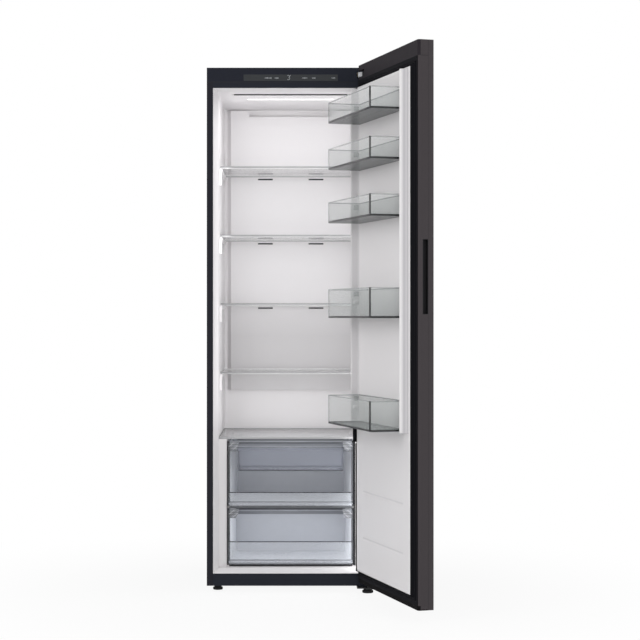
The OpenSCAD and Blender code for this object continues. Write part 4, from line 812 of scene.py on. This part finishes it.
# The liner's white, mixed towards grey by the edge attribute: that grey is painted shade.
liner_white_painted_shade = finish("liner_white_painted_shade", liner_colour, 0.38, fleck=0.008, fleck_size=0.15, peel=0.03, peel_size=0.004)
tones = liner_white_painted_shade.node_tree
tone_mark = tones.nodes.new("ShaderNodeAttribute")
tone_mark.attribute_name = "edge"
tone_mix = tones.nodes.new("ShaderNodeMix")
tone_mix.data_type = "RGBA"
tone_mix.inputs["B"].default_value = (0.47, 0.458, 0.48, 1)
tones.links.new(tone_mark.outputs["Fac"], tone_mix.inputs["Factor"])
liner_skin = tones.nodes["Principled BSDF"]
tones.links.new(liner_skin.inputs["Base Color"].links[0].from_socket, tone_mix.inputs["A"])
tones.links.new(tone_mix.outputs["Result"], liner_skin.inputs["Base Color"])
liner = build("door_liner_sheet", [on_door((points, quads, grey.reshape(-1)))], liner_white_painted_shade, "door",
              ("door_liner",), smooth=40)
gauge = liner.modifiers.new("gauge", "SOLIDIFY")
gauge.thickness = 0.0012
gauge.offset = -1
basket_levels = ((1643, 72), (1482, 72), (1298, 72), (970, 99), (605, 99))    # each basket's foot and its height
ear_back, ear_front, lug_foot, lug_top = 13, 29, 50.3, 38.3    # the last two are drops under the basket's rim
lugs = []
for z0, h in basket_levels:
    for s in (-1, 1):
        low, high = sorted((s * 231.3, s * 245))
        lugs.append(on_door(loft(bar((low, ear_back, z0 + h - lug_foot), (high, ear_front, z0 + h - lug_top), 2))))
build("basket_lugs", lugs, liner_white, "door")


# ---- Door seal ----
# A black magnetic seal: a flat band pushed over the liner's edge, two hollow folds and a soft lip that lies
# against the liner's wall. One profile is carried round the door and mitred at the corners, and along the top and
# the bottom its flat band reaches further out.
seal_shape = np.array([(0.4, -5.9), (22.4, -5.95), (25.0, -6.3), (25.3, -5.7), (23.4, -4.8), (20.8, -4.0), (14.2, -3.9),
                       (13.6, -5.5), (12.4, -5.5), (12.1, -3.0), (10.6, -0.9), (8.4, -0.5),
                       (6.6, -1.0), (5.9, -2.6), (5.2, -1.2), (3.9, 0.4), (2.7, 3.5), (1.5, 7.2),
                       (0.1, 9.2), (-1.2, 9.5), (-1.5, 9.0), (0.2, 7.2)])
out, rise = seal_shape[:, 0], seal_shape[:, 1]
band_start, band_extra, band_end = 20, 5.6, 28.6
reach = np.where(out > band_start, np.minimum(out + band_extra, band_end), out)
seal_rings = []
for sx, sz in ((-1, -1), (1, -1), (1, 1), (-1, 1)):
    z = field_top + reach if sz > 0 else field_foot - reach
    seal_rings.append(np.column_stack([sx * (field_half + out), rise, z]))
seal_rubber = finish("seal_rubber", (0.0085, 0.0085, 0.0105), 0.75, peel=0.1, gloss=0.05)
seal_skins = [on_door(loft(np.array(seal_rings), joined=True))]

# On the hinge side a thin wiper of the same rubber leans in along the mouth's slope and closes the gap there.
# Beside the drawers it is cut low, so that they pass it when they are pulled out. Its ends taper to its foot.
wiper_foot = 5.0
wiper = np.array([(269.2, wiper_foot), (271.3, wiper_foot), (270.1, 7.6), (266.2, 14.6), (264.9, 15.2), (264.6, 17.0),
                  (259.3, 25.8), (258.2, 26.2), (257.6, 25.4), (262.6, 16.4), (262.5, 14.6), (269.1, 7.2)])
low_wiper = np.array([(269.2, wiper_foot), (271.3, wiper_foot), (270.1, 7.6), (267.6, 12.0), (266.8, 13.2),
                      (266.0, 12.8), (267.2, 10.6), (269.0, 7.2)])
for lip, (foot, top) in ((low_wiper, (80.5, 533)), (wiper, (535, 1774))):
    lip_rings = np.stack([np.column_stack([lip, np.full(len(lip), z)]) for z in (foot, foot + 3, top - 3, top)])
    lip_rings[[0, 3], :, 1] = wiper_foot + (lip_rings[[0, 3], :, 1] - wiper_foot) * 0.4
    seal_skins.append(on_door(loft(lip_rings)))
build("door_seal", seal_skins, seal_rubber, "door", ("door_gasket",), smooth=25)


# ---- Door baskets ----
# Five clear moulded baskets with round front corners, a rolled rim and, at each end, an ear over a lug of the
# liner. The base is thicker and of a dark grey-green tint. Painted shade darkens the base's outer edge, the walls'
# foot, the rim and the front corners, with a dark bar up the front near the free edge.
basket_clear = clear("basket_clear", (0.68, 0.72, 0.715), 0.08, 0.15, (0.012, 0.014, 0.015), 0.96)
basket_floor = clear("basket_floor", (0.075, 0.1, 0.1), 0.25, 0.76, (0.006, 0.008, 0.009), 0.98)
basket_plan, basket_corners = (-230, 10, 230, 129), (0.6, 0.6, 12, 12)
for i, (z0, h) in enumerate(basket_levels, 1):
    rim_z = z0 + h
    profile = [(4, z0 + 2), (1.0, z0 + 2), (0.4, z0 + 6.4), (0.4, z0 + 6.5), (0, rim_z - 4), (0, rim_z - 3.9),
               (0, rim_z - 0.7), (0.7, rim_z), (2.6, rim_z), (3.3, rim_z - 0.7), (3.3, rim_z - 3), (2.6, rim_z - 4),
               (2.8, z0 + 6), (4, z0 + 3)]
    walls = hollow(*basket_plan, basket_corners, profile)
    # Painted shade: the walls' foot, the rim and one front corner are darkened.
    dark = np.zeros(walls.shape[:2])
    dark[:3] = 1
    dark[5:11] = 0.42
    dark[3:6, [14, 15]] = 0.5
    skins = [loft(walls, dark, joined=True)]
    for s in (-1, 1):
        low, high = sorted((s * 229.6, s * 242.6))
        skins.append(loft(bar((low, ear_back, rim_z - 24), (high, ear_front, rim_z - 6), 1.5), 0.1))
    # A dark bar up the front near the free edge, capped at the rim, is painted shade at that corner.
    skins.append(loft(bar((-222, 126.2, z0 + 3), (-216.4, 131, rim_z - 1.5), 0.5), 1.0))
    skins.append(loft(bar((-222.6, 125.6, rim_z - 4), (-215.8, 131.4, rim_z + 0.3), 0.8), 1.0))
    build(f"basket_{i}_tub", [on_door(k) for k in skins], basket_clear, f"basket_{i}", (f"basket_{i}",))
    floor_profile = [(60, z0), (1.5, z0), (0.4, z0 + 1), (0.6, z0 + 2.4), (3.5, z0 + 3), (60, z0 + 3)]
    base = hollow(*basket_plan, basket_corners, floor_profile)
    # The base's outer edge is darkened as painted shade.
    base_dark = np.array([0, 0.6, 1, 1, 0, 0])[:, None]
    build(f"basket_{i}_base", [on_door(loft(base, base_dark))], basket_floor, f"basket_{i}")
